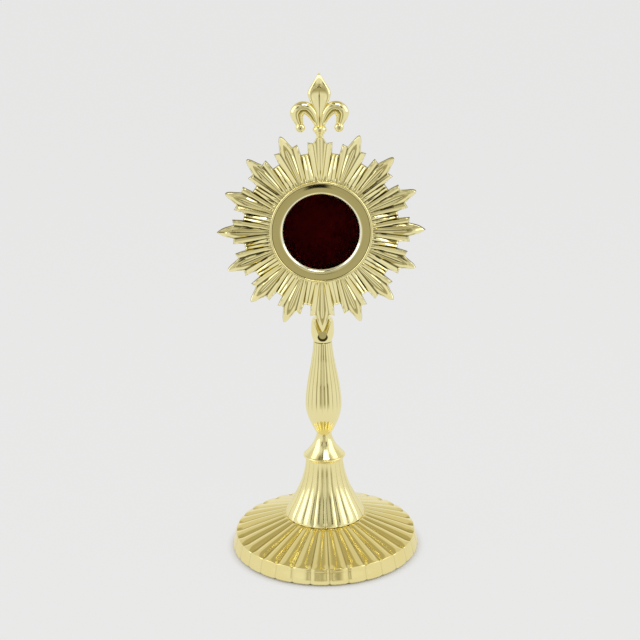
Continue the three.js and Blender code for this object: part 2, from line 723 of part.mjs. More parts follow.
const windowGlass = () => turnedOnCase(disc(glassRadius, glassFront, glassFront + GLASS_THICKNESS));

function retainer() {
  const front = glassFront + GLASS_THICKNESS + GAP;
  return turnedOnCase(ring(glassRadius - RETAINER_WIDTH, glassRadius, front, front + RETAINER_THICKNESS));
}

// Case, door and hinge

function caseShell() {
  const body = turnedOnCase([
    point(caseBore, PLATE_BACK),
    point(CASE_FLANGE_RADIUS, PLATE_BACK),
    point(CASE_FLANGE_RADIUS, PLATE_BACK + CASE_FLANGE_THICKNESS),
    point(CASE_RADIUS, PLATE_BACK + CASE_FLANGE_THICKNESS),
    point(CASE_RADIUS, caseRear),
    point(caseBore, caseRear),
    point(caseBore, PLATE_BACK),
  ]);
  const inner = DOOR_KNUCKLE_LENGTH / 2 + GAP;
  const parts = [body];
  const bores = [];
  for (const side of [-1, 1]) {
    const low = centreHeight + (side > 0 ? inner : -inner - CASE_KNUCKLE_LENGTH);
    const high = low + CASE_KNUCKLE_LENGTH;
    const leafX = (CASE_RADIUS - CASE_WALL / 2 + hingeX) / 2;
    const leafWidth = hingeX - CASE_RADIUS + CASE_WALL / 2;
    const leafY = caseRear - LEAF_DEPTH / 2;
    parts.push(block(leafWidth, LEAF_DEPTH, CASE_KNUCKLE_LENGTH, leafX, leafY, (low + high) / 2));
    parts.push(rodAlongZ(KNUCKLE_RADIUS, low, high, hingeX, hingeY));
    bores.push(rodAlongZ(PIN_RADIUS + GAP / 2, low - OVERRUN, high + OVERRUN, hingeX, hingeY, ROUND_SCREW));
  }
  const holes = caseScrewPlaces().map(([x, z]) => screwHole(x, z, PLATE_BACK + CASE_FLANGE_THICKNESS));
  return skin(cut(joined(...parts), ...bores, ...holes));
}

function hingePin() {
  const half = DOOR_KNUCKLE_LENGTH / 2 + GAP + CASE_KNUCKLE_LENGTH;
  const top = centreHeight + half + GAP;
  const shank = rodAlongZ(PIN_RADIUS, centreHeight - half, top, hingeX, hingeY, ROUND_SCREW);
  const head = rodAlongZ(PIN_HEAD_RADIUS, top, top + PIN_HEAD_HEIGHT, hingeX, hingeY, ROUND_SCREW);
  return skin(joined(shank, head));
}

function door() {
  const spigotRadius = caseBore - GAP;
  const back = doorFace + DOOR_THICKNESS;
  const pan = back - DOOR_RIM_HEIGHT;
  const rimBevel = DOOR_RIM_WIDTH / 4;
  const spigotFront = doorFace - DOOR_SPIGOT_DEPTH;
  const disk = turnedOnCase([
    point(0, doorFace),
    point(spigotRadius - DOOR_SPIGOT_WALL, doorFace),
    point(spigotRadius - DOOR_SPIGOT_WALL, spigotFront),
    point(spigotRadius, spigotFront),
    point(spigotRadius, doorFace),
    point(DOOR_RADIUS, doorFace),
    point(DOOR_RADIUS, pan),
    point(DOOR_RADIUS - rimBevel, back),
    point(DOOR_RADIUS - DOOR_RIM_WIDTH + rimBevel, back),
    point(DOOR_RADIUS - DOOR_RIM_WIDTH, pan),
    point(0, pan),
  ]);
  const bore = doorKnuckle(PIN_RADIUS + GAP / 2, DOOR_KNUCKLE_LENGTH + 2 * OVERRUN, ROUND_SCREW);
  return skin(cut(joined(disk, doorKnuckle(KNUCKLE_RADIUS, DOOR_KNUCKLE_LENGTH), ...doorLugs()), bore));
}

function doorKnuckle(radius, length, segments = ROUND_SMALL) {
  return rodAlongZ(radius, centreHeight - length / 2, centreHeight + length / 2, hingeX, hingeY, segments);
}

// The lug that carries the knuckle, the tab on the other side, and the tab's turned-up end.
function doorLugs() {
  const y = doorFace + DOOR_THICKNESS / 2;
  const lugWidth = hingeX - DOOR_RADIUS + DOOR_RIM_WIDTH;
  const lug = block(lugWidth, DOOR_THICKNESS, DOOR_KNUCKLE_LENGTH, hingeX - lugWidth / 2, y, centreHeight);
  const tabEnd = -DOOR_RADIUS - TAB_REACH;
  const tabWidth = TAB_REACH + DOOR_RIM_WIDTH;
  const tab = block(tabWidth, DOOR_THICKNESS, TAB_WIDTH, tabEnd + tabWidth / 2, y, centreHeight);
  const lipDepth = DOOR_THICKNESS + TAB_LIP;
  const lipX = tabEnd + DOOR_THICKNESS / 4;
  const lip = block(DOOR_THICKNESS / 2, lipDepth, TAB_WIDTH, lipX, doorFace + lipDepth / 2, centreHeight);
  return [lug, tab, lip];
}

function velvetBacking() {
  const radius = caseBore - 2 * GAP - DOOR_SPIGOT_WALL;
  const front = doorFace - VELVET_THICKNESS;
  return turnedOnCase([
    point(0, front),
    point(0.6 * radius, front + 0.1 * VELVET_CROWN),
    point(0.9 * radius, front + 0.5 * VELVET_CROWN),
    point(radius, front + VELVET_CROWN),
    point(radius, doorFace),
    point(0, doorFace),
  ]);
}

// A bent strip under the door's tab, whose bump rides over the case's wall.
function doorCatch() {
  const wallX = CASE_RADIUS + GAP;
  const outer = wallX + 2 * CATCH_STRIP;
  const end = doorFace - CATCH_STRIP - CATCH_LENGTH;
  const outline = new THREE.Shape([
    point(-outer - CATCH_FOOT, doorFace),
    point(-outer - CATCH_FOOT, doorFace - CATCH_STRIP),
    point(-outer, doorFace - CATCH_STRIP),
    point(-outer, end + 2 * CATCH_BUMP),
    point(-outer + CATCH_STRIP, end + CATCH_BUMP),
    point(-outer, end),
    point(-outer + CATCH_STRIP, end),
    point(-wallX, end + CATCH_BUMP),
    point(-outer + CATCH_STRIP, end + 2 * CATCH_BUMP),
    point(-outer + CATCH_STRIP, doorFace),
  ]);
  const strip = new THREE.ExtrudeGeometry(outline, { depth: CATCH_WIDTH, bevelEnabled: false });
  return strip.translate(0, 0, centreHeight - CATCH_WIDTH / 2);
}

// Screws

const tangScrewHeights = () => [0, TANG_SCREW_PITCH].map((drop) => tangTop - TANG_SCREW_EDGE - drop);
const finialScrewHeight = () => finialBase - FINIAL_SCREW_DROP;

function caseScrewPlaces() {
  return Array.from({ length: CASE_SCREWS }, (_, i) => {
    const a = (2 * Math.PI * (i + 0.5)) / CASE_SCREWS;
    return [caseScrewRadius * Math.sin(a), centreHeight + caseScrewRadius * Math.cos(a)];
  });
}

function plateScrewPlaces() {
  return [...caseScrewPlaces(), ...tangScrewHeights().map((z) => [0, z]), [0, finialScrewHeight()]];
}

// A hole from the face that a screw's head bears on to the shank's end inside the sunburst.
function screwHole(x, z, seat) {
  const radius = SCREW_SHANK_RADIUS + SCREW_CLEARANCE;
  return rodAlongY(radius, PLATE_BACK - SCREW_BITE - SCREW_CLEARANCE, seat + OVERRUN, x, z);
}

function screw(x, z, seat) {
  const shank = rodAlongY(SCREW_SHANK_RADIUS, PLATE_BACK - SCREW_BITE, seat, x, z);
  const head = rodAlongY(SCREW_HEAD_RADIUS, seat, seat + SCREW_HEAD_HEIGHT, x, z);
  return skin(joined(shank, head));
}

// Assembly

const monstrance = new THREE.Group();

function place(name, geometry, material) {
  const mesh = new THREE.Mesh(geometry, material);
  mesh.name = name;
  monstrance.add(mesh);
}

place("base_foot", footShell(), brass);
place("foot_felt", feltPad(), felt);
place("stem_bell", bell(), brass);
place("stem_collar", collar(), brass);
place("stem_knop", knop(), brass);
place("calyx", calyx(), brass);
place("tie_rod", tieRod(), steel);
place("rod_washer", rodWasher(), steel);
place("rod_nut", rodNut(), steel);
place("sunburst", sunburst(), brass);
place("fleur_finial", finial(), brass);
place("bezel_ring", bezel(), brass);
place("window_glass", windowGlass(), glass);
place("glass_retainer", retainer(), innerBrass);
place("relic_case", caseShell(), brass);
place("rear_door", door(), brass);
place("velvet_backing", velvetBacking(), velvet);
place("door_catch", doorCatch(), innerBrass);
place("hinge_pin", hingePin(), steel);
caseScrewPlaces().forEach(([x, z], i) => {
  place(`case_screw_${i + 1}`, screw(x, z, PLATE_BACK + CASE_FLANGE_THICKNESS), steel);
});
tangScrewHeights().forEach((z, i) => {
  place(`calyx_screw_${i + 1}`, screw(0, z, PLATE_BACK + TANG_THICKNESS), steel);
});
place("finial_screw", screw(0, finialScrewHeight(), PLATE_BACK + FINIAL_TANG_THICKNESS), steel);

export default monstrance;
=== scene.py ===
# %% [markdown]
# # A gilt reliquary monstrance
# A monstrance shows a small relic behind a round window. This one is cast and turned brass with a
# bright gold plating: a fluted foot, a bell, a waisted collar, a pear-shaped knop, a small calyx that
# holds a sunburst, and a fleur-de-lis on top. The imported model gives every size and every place, and
# this lesson dresses it: each plain solid gets a finer piece in the same spot.

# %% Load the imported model
import math

import bmesh
import bpy
from mathutils import Matrix, Vector, geometry, noise


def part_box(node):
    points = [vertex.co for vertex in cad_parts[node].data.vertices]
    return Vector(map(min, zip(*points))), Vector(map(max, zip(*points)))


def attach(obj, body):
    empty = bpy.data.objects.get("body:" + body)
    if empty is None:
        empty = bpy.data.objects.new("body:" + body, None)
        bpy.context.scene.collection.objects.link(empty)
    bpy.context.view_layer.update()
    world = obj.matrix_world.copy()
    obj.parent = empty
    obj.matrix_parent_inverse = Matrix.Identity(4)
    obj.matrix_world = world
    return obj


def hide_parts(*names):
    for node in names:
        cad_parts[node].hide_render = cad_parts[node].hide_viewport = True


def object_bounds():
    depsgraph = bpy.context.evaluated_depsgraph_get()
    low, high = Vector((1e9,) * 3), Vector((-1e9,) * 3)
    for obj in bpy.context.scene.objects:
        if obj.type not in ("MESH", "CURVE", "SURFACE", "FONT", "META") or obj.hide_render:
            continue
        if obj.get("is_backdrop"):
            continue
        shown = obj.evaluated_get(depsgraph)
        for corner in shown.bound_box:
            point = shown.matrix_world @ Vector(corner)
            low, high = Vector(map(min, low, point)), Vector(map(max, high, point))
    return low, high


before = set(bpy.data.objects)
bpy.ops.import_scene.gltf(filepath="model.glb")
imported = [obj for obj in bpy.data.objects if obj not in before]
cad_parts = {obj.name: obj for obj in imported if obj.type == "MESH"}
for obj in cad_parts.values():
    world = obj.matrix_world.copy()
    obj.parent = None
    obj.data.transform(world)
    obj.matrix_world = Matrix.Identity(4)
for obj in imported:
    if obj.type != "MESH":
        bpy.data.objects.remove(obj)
cad_low, cad_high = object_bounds()
print("CAD box in metres", [round(x, 4) for x in (*cad_low, *cad_high)])

# %% [markdown]
# ## Working in millimetres
# Blender counts in metres, but a maker measures a piece like this in millimetres. Every piece is
# therefore modelled in millimetres and shrunk once, when it is finished.

# %% The levels of the stem and the place of the window, read from the model
MM = 0.001


def lowest(node):
    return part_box(node)[0] / MM


def highest(node):
    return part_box(node)[1] / MM


FOOT_BOTTOM = lowest("base_foot").z
BELL_BOTTOM = highest("base_foot").z
COLLAR_BOTTOM = highest("stem_bell").z
KNOP_BOTTOM = highest("stem_collar").z
CALYX_BOTTOM = highest("stem_knop").z
PLATE_BACK = highest("sunburst").y
HUB_FACE = lowest("sunburst").y
WINDOW_Z = (lowest("bezel_ring").z + highest("bezel_ring").z) / 2
AXIS = Vector((0, 0, WINDOW_Z))
print("levels", [round(z, 2) for z in (BELL_BOTTOM, COLLAR_BOTTOM, KNOP_BOTTOM, CALYX_BOTTOM, WINDOW_Z)])

# %% [markdown]
# ## Node trees as sums
# A finish is a small calculation that runs at every point of a surface. One class wraps a socket and
# lets Python's own signs add the Math nodes, and one method adds every other kind of node.

# %% Sockets that can be added and multiplied


class Wire:
    """The output of a node. Each sum or product with it adds one Math node."""

    def __init__(self, sheet, socket):
        self.sheet = sheet
        self.socket = socket

    def __add__(self, other):
        return self.sheet.math("ADD", self, other)

    def __radd__(self, other):
        return self.sheet.math("ADD", other, self)

    def __sub__(self, other):
        return self.sheet.math("SUBTRACT", self, other)

    def __rsub__(self, other):
        return self.sheet.math("SUBTRACT", other, self)

    def __mul__(self, other):
        return self.sheet.math("MULTIPLY", self, other)

    def __truediv__(self, other):
        return self.sheet.math("DIVIDE", self, other)


class Sheet:
    """A node tree, empty at first."""

    def __init__(self, tree):
        self.tree = tree
        tree.nodes.clear()

    def node(self, kind, settings=None, inputs=None, output=0):
        """Adds a node: its settings first, then a value or a wire for each socket that is named."""
        made = self.tree.nodes.new("ShaderNode" + kind)
        for name, value in (settings or {}).items():
            if name == "stops":
                ramp = made.color_ramp.elements
                while len(ramp) < len(value):
                    ramp.new(1)
                for stop, (place, colour) in zip(ramp, value):
                    stop.position = place
                    stop.color = colour
            else:
                setattr(made, name, value)
        for name, value in (inputs or {}).items():
            if isinstance(value, Wire):
                self.tree.links.new(value.socket, made.inputs[name])
            else:
                made.inputs[name].default_value = value
        return Wire(self, made.outputs[output]) if len(made.outputs) else None

    def math(self, operation, *values):
        """One Math node of one, two or three values."""
        return self.node("Math", {"operation": operation}, dict(enumerate(values)))

    def parts(self, vector):
        """The x, y and z of a vector."""
        return [self.node("SeparateXYZ", None, {0: vector}, axis) for axis in range(3)]

    def length(self, vector):
        return self.node("VectorMath", {"operation": "LENGTH"}, {0: vector}, "Value")

    def ray(self, kind):
        """1 for rays of one kind, 0 for the others."""
        return self.node("LightPath", None, None, f"Is {kind} Ray")

    def bump(self, height, strength, distance):
        """Shading as if the surface rose by height times distance in metres."""
        inputs = {"Height": height, "Strength": strength, "Distance": distance}
        return self.node("Bump", None, inputs)

    def blend(self, share, first, second):
        """A colour between two colours."""
        return self.node("Mix", {"data_type": "RGBA"}, {0: share, 6: first, 7: second}, 2)

    def grain(self, place, scale, detail=2, roughness=0.5):
        """Soft noise between 0 and 1 over a place."""
        inputs = {"Vector": place, "Scale": scale, "Detail": detail, "Roughness": roughness}
        return self.node("TexNoise", None, inputs)

    def ramp(self, value, low, high, start=0, end=1):
        """Start below low, end above high, and a smooth change between them."""
        inputs = {"Value": value, "From Min": low, "From Max": high, "To Min": start, "To Max": end}
        return self.node("MapRange", {"interpolation_type": "SMOOTHSTEP"}, inputs)


def new_sheet(name):
    """A material, its empty sheet, and where each point lies on the object in metres."""
    material = bpy.data.materials.new(name)
    material.use_nodes = True
    sheet = Sheet(material.node_tree)
    return material, sheet, sheet.node("TexCoord", None, None, "Object")


def surface(sheet, inputs):
    """Ends a sheet with the one shader that nearly every finish here uses."""
    shader = sheet.node("BsdfPrincipled", None, inputs)
    sheet.node("OutputMaterial", None, {"Surface": shader})


print("node helpers ready")

# %% [markdown]
# ## Gilt brass
# Thin gold over polished brass is a pale lemon mirror. On the real piece it isn't perfect: polishing
# leaves a soft ripple that makes the reflections waver, and handling leaves faint cloudy smears.
# Light and shade are also painted into its colour. Each point of a piece stores a number for this
# painted light: 1 in the bottom of a groove, for the painted shade there, more for a black stroke
# painted in place of a dark reflection, and minus 1 where an edge gets a painted highlight.

# %% The gilt finishes
PALE_GOLD = (0.95, 0.87, 0.47, 1)
DEEP_GOLD = (0.93, 0.78, 0.30, 1)
FOOT_GOLD = (0.93, 0.77, 0.29, 1)
PAINTED_GROOVE_SHADE = (0.16, 0.13, 0.04, 1)
PAINTED_HIGHLIGHT_GOLD = (1, 0.98, 0.80, 1)
PAINTED_REFLECTION_BLACK = (0.015, 0.012, 0.005, 1)
TURNING_LINES = 22000  # radians of the lathe's fine rings per metre of radius


def gilt(name, ripple=1, gloss=0.07, warmth=0, deep=DEEP_GOLD, turned_lines=0):
    """Polished gold plating. turned_lines adds the fine rings that a lathe leaves round the window."""
    material, sheet, place = new_sheet(name)
    groove = sheet.node("Attribute", {"attribute_name": "groove"}, None, "Fac")
    cloud = sheet.grain(place, 55, 3)
    smear = sheet.ramp(sheet.grain(place, 210, 4, 0.6), 0.45, 0.75)
    colour = sheet.blend(sheet.ramp(cloud, 0.3, 0.75, warmth, warmth + 0.35), PALE_GOLD, deep)
    # Painted shade: a dark olive line in the bottom of each groove.
    colour = sheet.blend(sheet.ramp(groove, 0.2, 1, 0, 0.95), colour, PAINTED_GROOVE_SHADE)
    # A painted reflection: black where dark parts of the room would mirror in the rays that lie level.
    colour = sheet.blend(sheet.ramp(groove, 1.1, 1.6), colour, PAINTED_REFLECTION_BLACK)
    # A painted highlight: pale gold where the number is below 0, on the bevel round the glass and beside the
    # rays' edge line.
    colour = sheet.blend(sheet.ramp(groove, -1, 0, 1, 0), colour, PAINTED_HIGHLIGHT_GOLD)
    dull = sheet.ramp(groove, 0, 1, 0, 0.1)
    roughness = gloss + smear * 0.05 + dull + sheet.grain(place, 1800, 2) * 0.03
    height = sheet.grain(place, 160, 1) * ripple + sheet.grain(place, 620, 2) * (0.16 * ripple)
    if turned_lines:
        move = {"Vector": place, "Location": (0, 0, -WINDOW_Z * MM)}
        from_middle = sheet.node("Mapping", None, move)
        height = height + sheet.math("SINE", sheet.length(from_middle) * TURNING_LINES) * turned_lines
    bump = sheet.bump(height, 0.35, 0.00006)
    surface(sheet, {"Base Color": colour, "Metallic": 1, "Roughness": roughness, "Normal": bump})
    return material


GILT = gilt("gilt_brass_polished", gloss=0.035)
# The bell and the foot get warmer copies of the same gilt, the foot a deeper one: painted warmth for the
# light that bounces between their lobes.
GILT_BELL = gilt("gilt_brass_bell", ripple=2.2, gloss=0.13, warmth=0.1)
GILT_FOOT = gilt("gilt_brass_foot", ripple=1.2, gloss=0.06, warmth=0.4, deep=FOOT_GOLD)
GILT_WINDOW = gilt("gilt_brass_turned", ripple=0.3, gloss=0.03, turned_lines=0.03)
print("gilt finishes made")

# %% [markdown]
# ## Plain brass, steel, glass and cloth
# What is inside or behind the sunburst was never polished: the retaining ring and the catch are
# brushed brass, the screws and the rod are steel. The relic's back is a padded disc of dark red
# velvet, and the foot stands on black felt. Cloth gets its nap from two sizes of noise and a sheen.

# %% The other finishes


def brushed(name, pale, dark, rough):
    """Metal that was rubbed one way with a fine abrasive."""
    material, sheet, place = new_sheet(name)
    stretched = sheet.node("Mapping", None, {"Vector": place, "Scale": (1, 1, 12)})
    lines = sheet.grain(stretched, 900, 4, 0.7)
    stain = sheet.grain(place, 160, 3)
    colour = sheet.blend(sheet.ramp(stain, 0.35, 0.7), pale, dark)
    bump = sheet.bump(lines, 0.3, 0.00004)
    roughness = rough + lines * 0.14 + stain * 0.06
    surface(sheet, {"Base Color": colour, "Metallic": 1, "Roughness": roughness, "Normal": bump})
    return material


def cloth(name, pale, dark, nap, sheen, sheen_tint):
    """Short pile: a fine speckle, slower patches where it lies another way, and a soft sheen."""
    material, sheet, place = new_sheet(name)
    pile = sheet.grain(place, nap, 3, 0.7)
    patches = sheet.grain(place, nap / 25, 2)
    colour = sheet.blend(sheet.ramp(pile * 0.6 + patches * 0.4, 0.3, 0.7), dark, pale)
    bump = sheet.bump(pile, 0.6, 0.0002)
    inputs = {"Base Color": colour, "Roughness": 0.9 + pile * 0.1, "Normal": bump, "Specular IOR Level": 0.03}
    surface(sheet, {**inputs, "Sheen Weight": sheen, "Sheen Roughness": 0.4, "Sheen Tint": sheen_tint})
    return material


def window_glass():
    """Thin clear glass with a breath of dust."""
    material, sheet, place = new_sheet("window_glass")
    dust = sheet.ramp(sheet.grain(place, 500, 4, 0.6), 0.6, 0.8, 0, 0.04)
    bump = sheet.bump(sheet.grain(place, 60, 1), 0.02, 0.0001)
    inputs = {"Base Color": (1, 1, 1, 1), "Roughness": dust, "Normal": bump}
    surface(sheet, {**inputs, "Transmission Weight": 1, "IOR": 1.04})
    return material


INNER_BRASS = brushed("inner_brass_brushed", (0.72, 0.56, 0.27, 1), (0.55, 0.40, 0.16, 1), 0.26)
STEEL = brushed("steel_brushed", (0.60, 0.60, 0.61, 1), (0.42, 0.42, 0.43, 1), 0.24)
GLASS = window_glass()
VELVET_PALE, VELVET_DARK = (0.052, 0.0006, 0.0012, 1), (0.030, 0.0003, 0.0006, 1)
FELT_PALE, FELT_DARK = (0.06, 0.062, 0.058, 1), (0.016, 0.016, 0.015, 1)
VELVET = cloth("velvet_dark_red", VELVET_PALE, VELVET_DARK, 3500, 0.02, (0.5, 0, 0, 1))
FELT = cloth("felt_black", FELT_PALE, FELT_DARK, 1500, 0.15, (1, 1, 1, 1))
print("materials", len(bpy.data.materials))

# %% [markdown]
# ## Shaping helpers
# Three ways of making a form cover this whole object. A turned piece is a profile spun about an
# axis. A bent grid is a sheet of squares whose points are moved one by one, for forms that follow a
# rule. A block is a cube with its edges bevelled. Last, `finished` welds the mesh, shrinks it to
# metres and hangs it on the body that carries it.

# %% Curves for profiles


def fade(value, low, high):
    """0 below low, 1 above high, smooth between."""
    t = min(max((value - low) / (high - low), 0), 1)
    return t * t * (3 - 2 * t)


def bezier(start, pull, push, end, count):
    """Points along one Bezier curve in the plane of a profile."""
    corners = [Vector((x, y, 0)) for x, y in (start, pull, push, end)]
    return [(p.x, p.y) for p in geometry.interpolate_bezier(*corners, count)]


def rounded(profile, radius):
    """The same profile with each inner corner cut by a small arc."""
    out = [profile[0]]
    for before, here, after in zip(profile, profile[1:], profile[2:]):
        a, b, c = (Vector((*p, 0)) for p in (before, here, after))
        reach = min(radius, (a - b).length * 0.45, (c - b).length * 0.45)
        first = b + (a - b).normalized() * reach
        last = b + (c - b).normalized() * reach
        arc = geometry.interpolate_bezier(first, first.lerp(b, 0.6), last.lerp(b, 0.6), last, 4)
        out += [(p.x, p.y) for p in arc]
    return out + [profile[-1]]


print("a rounded square corner has", len(rounded([(0, 0), (1, 0), (1, 1)], 0.3)), "points")

# %% Turned pieces, bent grids and blocks


def blank():
    """An empty mesh whose points each store a number for painted light and shade."""
    bm = bmesh.new()
    bm.verts.layers.float.new("groove")
    return bm


def turned(profile, steps, closed=False):
    """A profile of (radius, height) points spun about the upright axis."""
    bm = blank()
    points = [bm.verts.new((radius, 0, height)) for radius, height in profile]
    pairs = list(zip(points, points[1:]))
    if closed:
        pairs.append((points[-1], points[0]))
    lines = [bm.edges.new(pair) for pair in pairs]
    circle = {"cent": (0, 0, 0), "axis": (0, 0, 1), "angle": 2 * math.pi, "steps": steps}
    bmesh.ops.spin(bm, geom=points + lines, use_merge=True, **circle)
    bmesh.ops.remove_doubles(bm, verts=bm.verts, dist=1e-4)
    bmesh.ops.recalc_face_normals(bm, faces=bm.faces)
    bm.normal_update()
    return bm


def moved(bm, way):
    bmesh.ops.translate(bm, verts=bm.verts, vec=way)
    return bm


def face_front(bm):
    """Turns a piece that was spun about the upright axis so that its axis runs from back to front."""
    bmesh.ops.rotate(bm, verts=bm.verts, cent=(0, 0, 0), matrix=Matrix.Rotation(-math.pi / 2, 3, "X"))
    return moved(bm, AXIS)


def bent_grid(columns, rows, place):
    """A sheet of points. place(column, row) gives where each one goes and its number for painted light."""
    bm = blank()
    bmesh.ops.create_grid(bm, x_segments=columns - 1, y_segments=rows - 1, size=1)
    layer = bm.verts.layers.float["groove"]
    for v in bm.verts:
        column, row = round((v.co.x + 1) / 2 * (columns - 1)), round((v.co.y + 1) / 2 * (rows - 1))
        v.co, v[layer] = place(column, row)
    return bm


def block(low, high, edge=0.2):
    """A bevelled box between two corners."""
    bm = blank()
    bmesh.ops.create_cube(bm, size=1)
    low, high = Vector(low), Vector(high)
    bmesh.ops.scale(bm, verts=bm.verts, vec=high - low)
    moved(bm, (low + high) / 2)
    soft = {"offset": edge, "segments": 2, "profile": 0.5, "clamp_overlap": True}
    bmesh.ops.bevel(bm, geom=bm.edges[:], affect="EDGES", material=-1, **soft)
    return bm


print("a block has", len(block((0, 0, 0), (1, 1, 1)).faces), "faces")

# %% From a mesh in millimetres to a piece


def together(*parts):
    """Several meshes in one."""
    whole = parts[0]
    for part in parts[1:]:
        mesh = bpy.data.meshes.new("part")
        part.to_mesh(mesh)
        part.free()
        whole.from_mesh(mesh)
        bpy.data.meshes.remove(mesh)
    return whole


def in_scene(name, data):
    """A new object, linked to the scene."""
    made = bpy.data.objects.new(name, data)
    bpy.context.scene.collection.objects.link(made)
    return made


def finished(name, bm, material, slot, *nodes, body="monstrance", crease=32):
    """Makes the piece from its mesh in millimetres, puts it on its body and lets it stand for nodes."""
    bmesh.ops.remove_doubles(bm, verts=bm.verts, dist=2e-4)
    bmesh.ops.recalc_face_normals(bm, faces=bm.faces)
    bmesh.ops.scale(bm, verts=bm.verts, vec=(MM, MM, MM))
    mesh = bpy.data.meshes.new(name)
    bm.to_mesh(mesh)
    bm.free()
    mesh.shade_smooth()
    mesh.set_sharp_from_angle(angle=math.radians(crease))
    mesh.materials.append(material)
    piece = in_scene(name, mesh)
    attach(piece, body)
    if nodes:
        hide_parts(*nodes)
    print(name, len(mesh.polygons), "faces", [round(s / MM, 1) for s in piece.dimensions])
    return piece


print("pieces of the model to dress", len(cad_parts))

# %% [markdown]
# ## Flutes
# The foot, the bell and the knop are all gadrooned: broad, softly rounded lobes that meet in narrow
# grooves. A turned piece has the lobes' crests, and pulling its points in along their normals makes
# the grooves. The distance from the crest is raised to a power called pinch: the higher it is, the
# narrower the groove. The bottom of each groove also gets a line of painted shade.

# %% Draw a turned wall in between its lobes
# The dark line is painted shade in the bottom of each groove.
GROOVE_START = 0.76  # share of the way from a crest to a groove where the dark line begins


def flute(bm, lobes, turn, share, shape):
    """share is the depth over the pitch; shape(radius, height) gives how strong and narrow a groove is, and
    how dark the painted shade along its bottom.
    """
    layer = bm.verts.layers.float["groove"]
    moves = []
    for v in bm.verts:
        radius = math.hypot(v.co.x, v.co.y)
        amount, pinch, shade = shape(radius, v.co.z) if radius > 1e-3 else (0, 1, 0)
        if amount <= 0:
            continue
        phase = (math.atan2(v.co.x, -v.co.y) - math.radians(turn)) * lobes / (2 * math.pi)
        from_crest = 2 * abs(phase - math.floor(phase) - 0.5)
        depth = from_crest**pinch
        # Painted shade along the bottom of the groove.
        v[layer] = fade(from_crest, GROOVE_START, 1) * shade
        moves.append((v, v.normal * (share * 2 * math.pi * radius / lobes * depth * amount)))
    for v, move in moves:
        v.co -= move
    return bm


print("flutes ready")

# %% [markdown]
# ## The foot
# A shallow cone with thirty-two lobes and a low, nearly upright rim. The edge between the two is
# softly rounded, and that is where the brightest line of the foot runs.

# %% Foot
FOOT_LOBES = 32


def foot():
    rim, shoulder, shoulder_z, crown = 43.65, 42.05, 7.9, 19.2
    crown_z = BELL_BOTTOM - 0.23
    wall = [(rim - 0.35, FOOT_BOTTOM), (rim, FOOT_BOTTOM + 0.45)]
    side = [(rim, FOOT_BOTTOM + 0.6), (rim - 0.3, 3.2), (shoulder + 0.35, 5.8)]
    wall += bezier(*side, (shoulder + 0.1, shoulder_z - 0.5), 8)
    corner, over = (shoulder, shoulder_z), (shoulder - 0.55, shoulder_z + 0.17)
    wall += bezier((shoulder + 0.05, shoulder_z - 0.35), corner, corner, over, 6)
    wall += bezier((shoulder - 0.8, shoulder_z + 0.26), (34, 10.9), (27, 13.1), (crown, crown_z), 26)
    wall += [(crown - 1.4, BELL_BOTTOM), (6, BELL_BOTTOM), (6, BELL_BOTTOM - 2.4)]
    wall += [(16, BELL_BOTTOM - 2.4), (39.6, 5.6), (41.2, FOOT_BOTTOM)]
    bm = turned(wall, FOOT_LOBES * 16, closed=True)

    def shape(radius, height):
        if radius < 41.3 and height < foot_top(radius) - 1.2:
            return 0, 1, 0
        top = fade(height, 7.2, 8.8)
        return (0.35 + 0.65 * top) * fade(radius, 17.8, 19.2), 6 - 4.3 * top, 0.45 + 0.25 * top

    return flute(bm, FOOT_LOBES, 1.9, 0.14, shape)


def foot_top(radius):
    """Height of the foot's outside at a radius."""
    return 7.9 + (42.1 - radius) * (15.67 - 7.9) / (42.1 - 19.2)


finished("gadrooned_foot", foot(), GILT_FOOT, "gilt_brass", "base_foot")

# %% [markdown]
# ## The bell and the knop
# Both have twenty flutes that run their full length. The bell flares down to the foot, and the knop
# swells like a pear and narrows to the calyx.

# %% Bell and knop
FLUTES = 20


def bell():
    foot_radius, neck, top = 18.5, 8.6, COLLAR_BOTTOM
    height = top - BELL_BOTTOM
    lip = (foot_radius, BELL_BOTTOM + 0.7)
    wall = [(foot_radius - 0.25, BELL_BOTTOM), (foot_radius, BELL_BOTTOM + 0.3), lip]
    pull = (0.87 * foot_radius, BELL_BOTTOM + 0.25 * height)
    push = (1.1 * neck, BELL_BOTTOM + 0.5 * height)
    wall += bezier(lip, pull, push, (neck, top), 44)[1:]
    wall += [(5, top), (5, top - 1.6), (neck - 1.6, top - 1.6), (foot_radius - 2.2, BELL_BOTTOM)]
    bm = turned(wall, FLUTES * 20, closed=True)

    def shape(radius, z):
        middle = foot_radius + (neck - foot_radius) * ((z - BELL_BOTTOM) / height) ** 0.5
        if radius < middle - 4 or radius < neck - 0.8:
            return 0, 1, 0
        amount = 0.35 + 0.65 * fade(z, BELL_BOTTOM, BELL_BOTTOM + 1.2)
        return amount, 2.6, 0.68 - 0.2 * fade(z, top - 12, top)

    return flute(bm, FLUTES, 0, 0.085, shape)


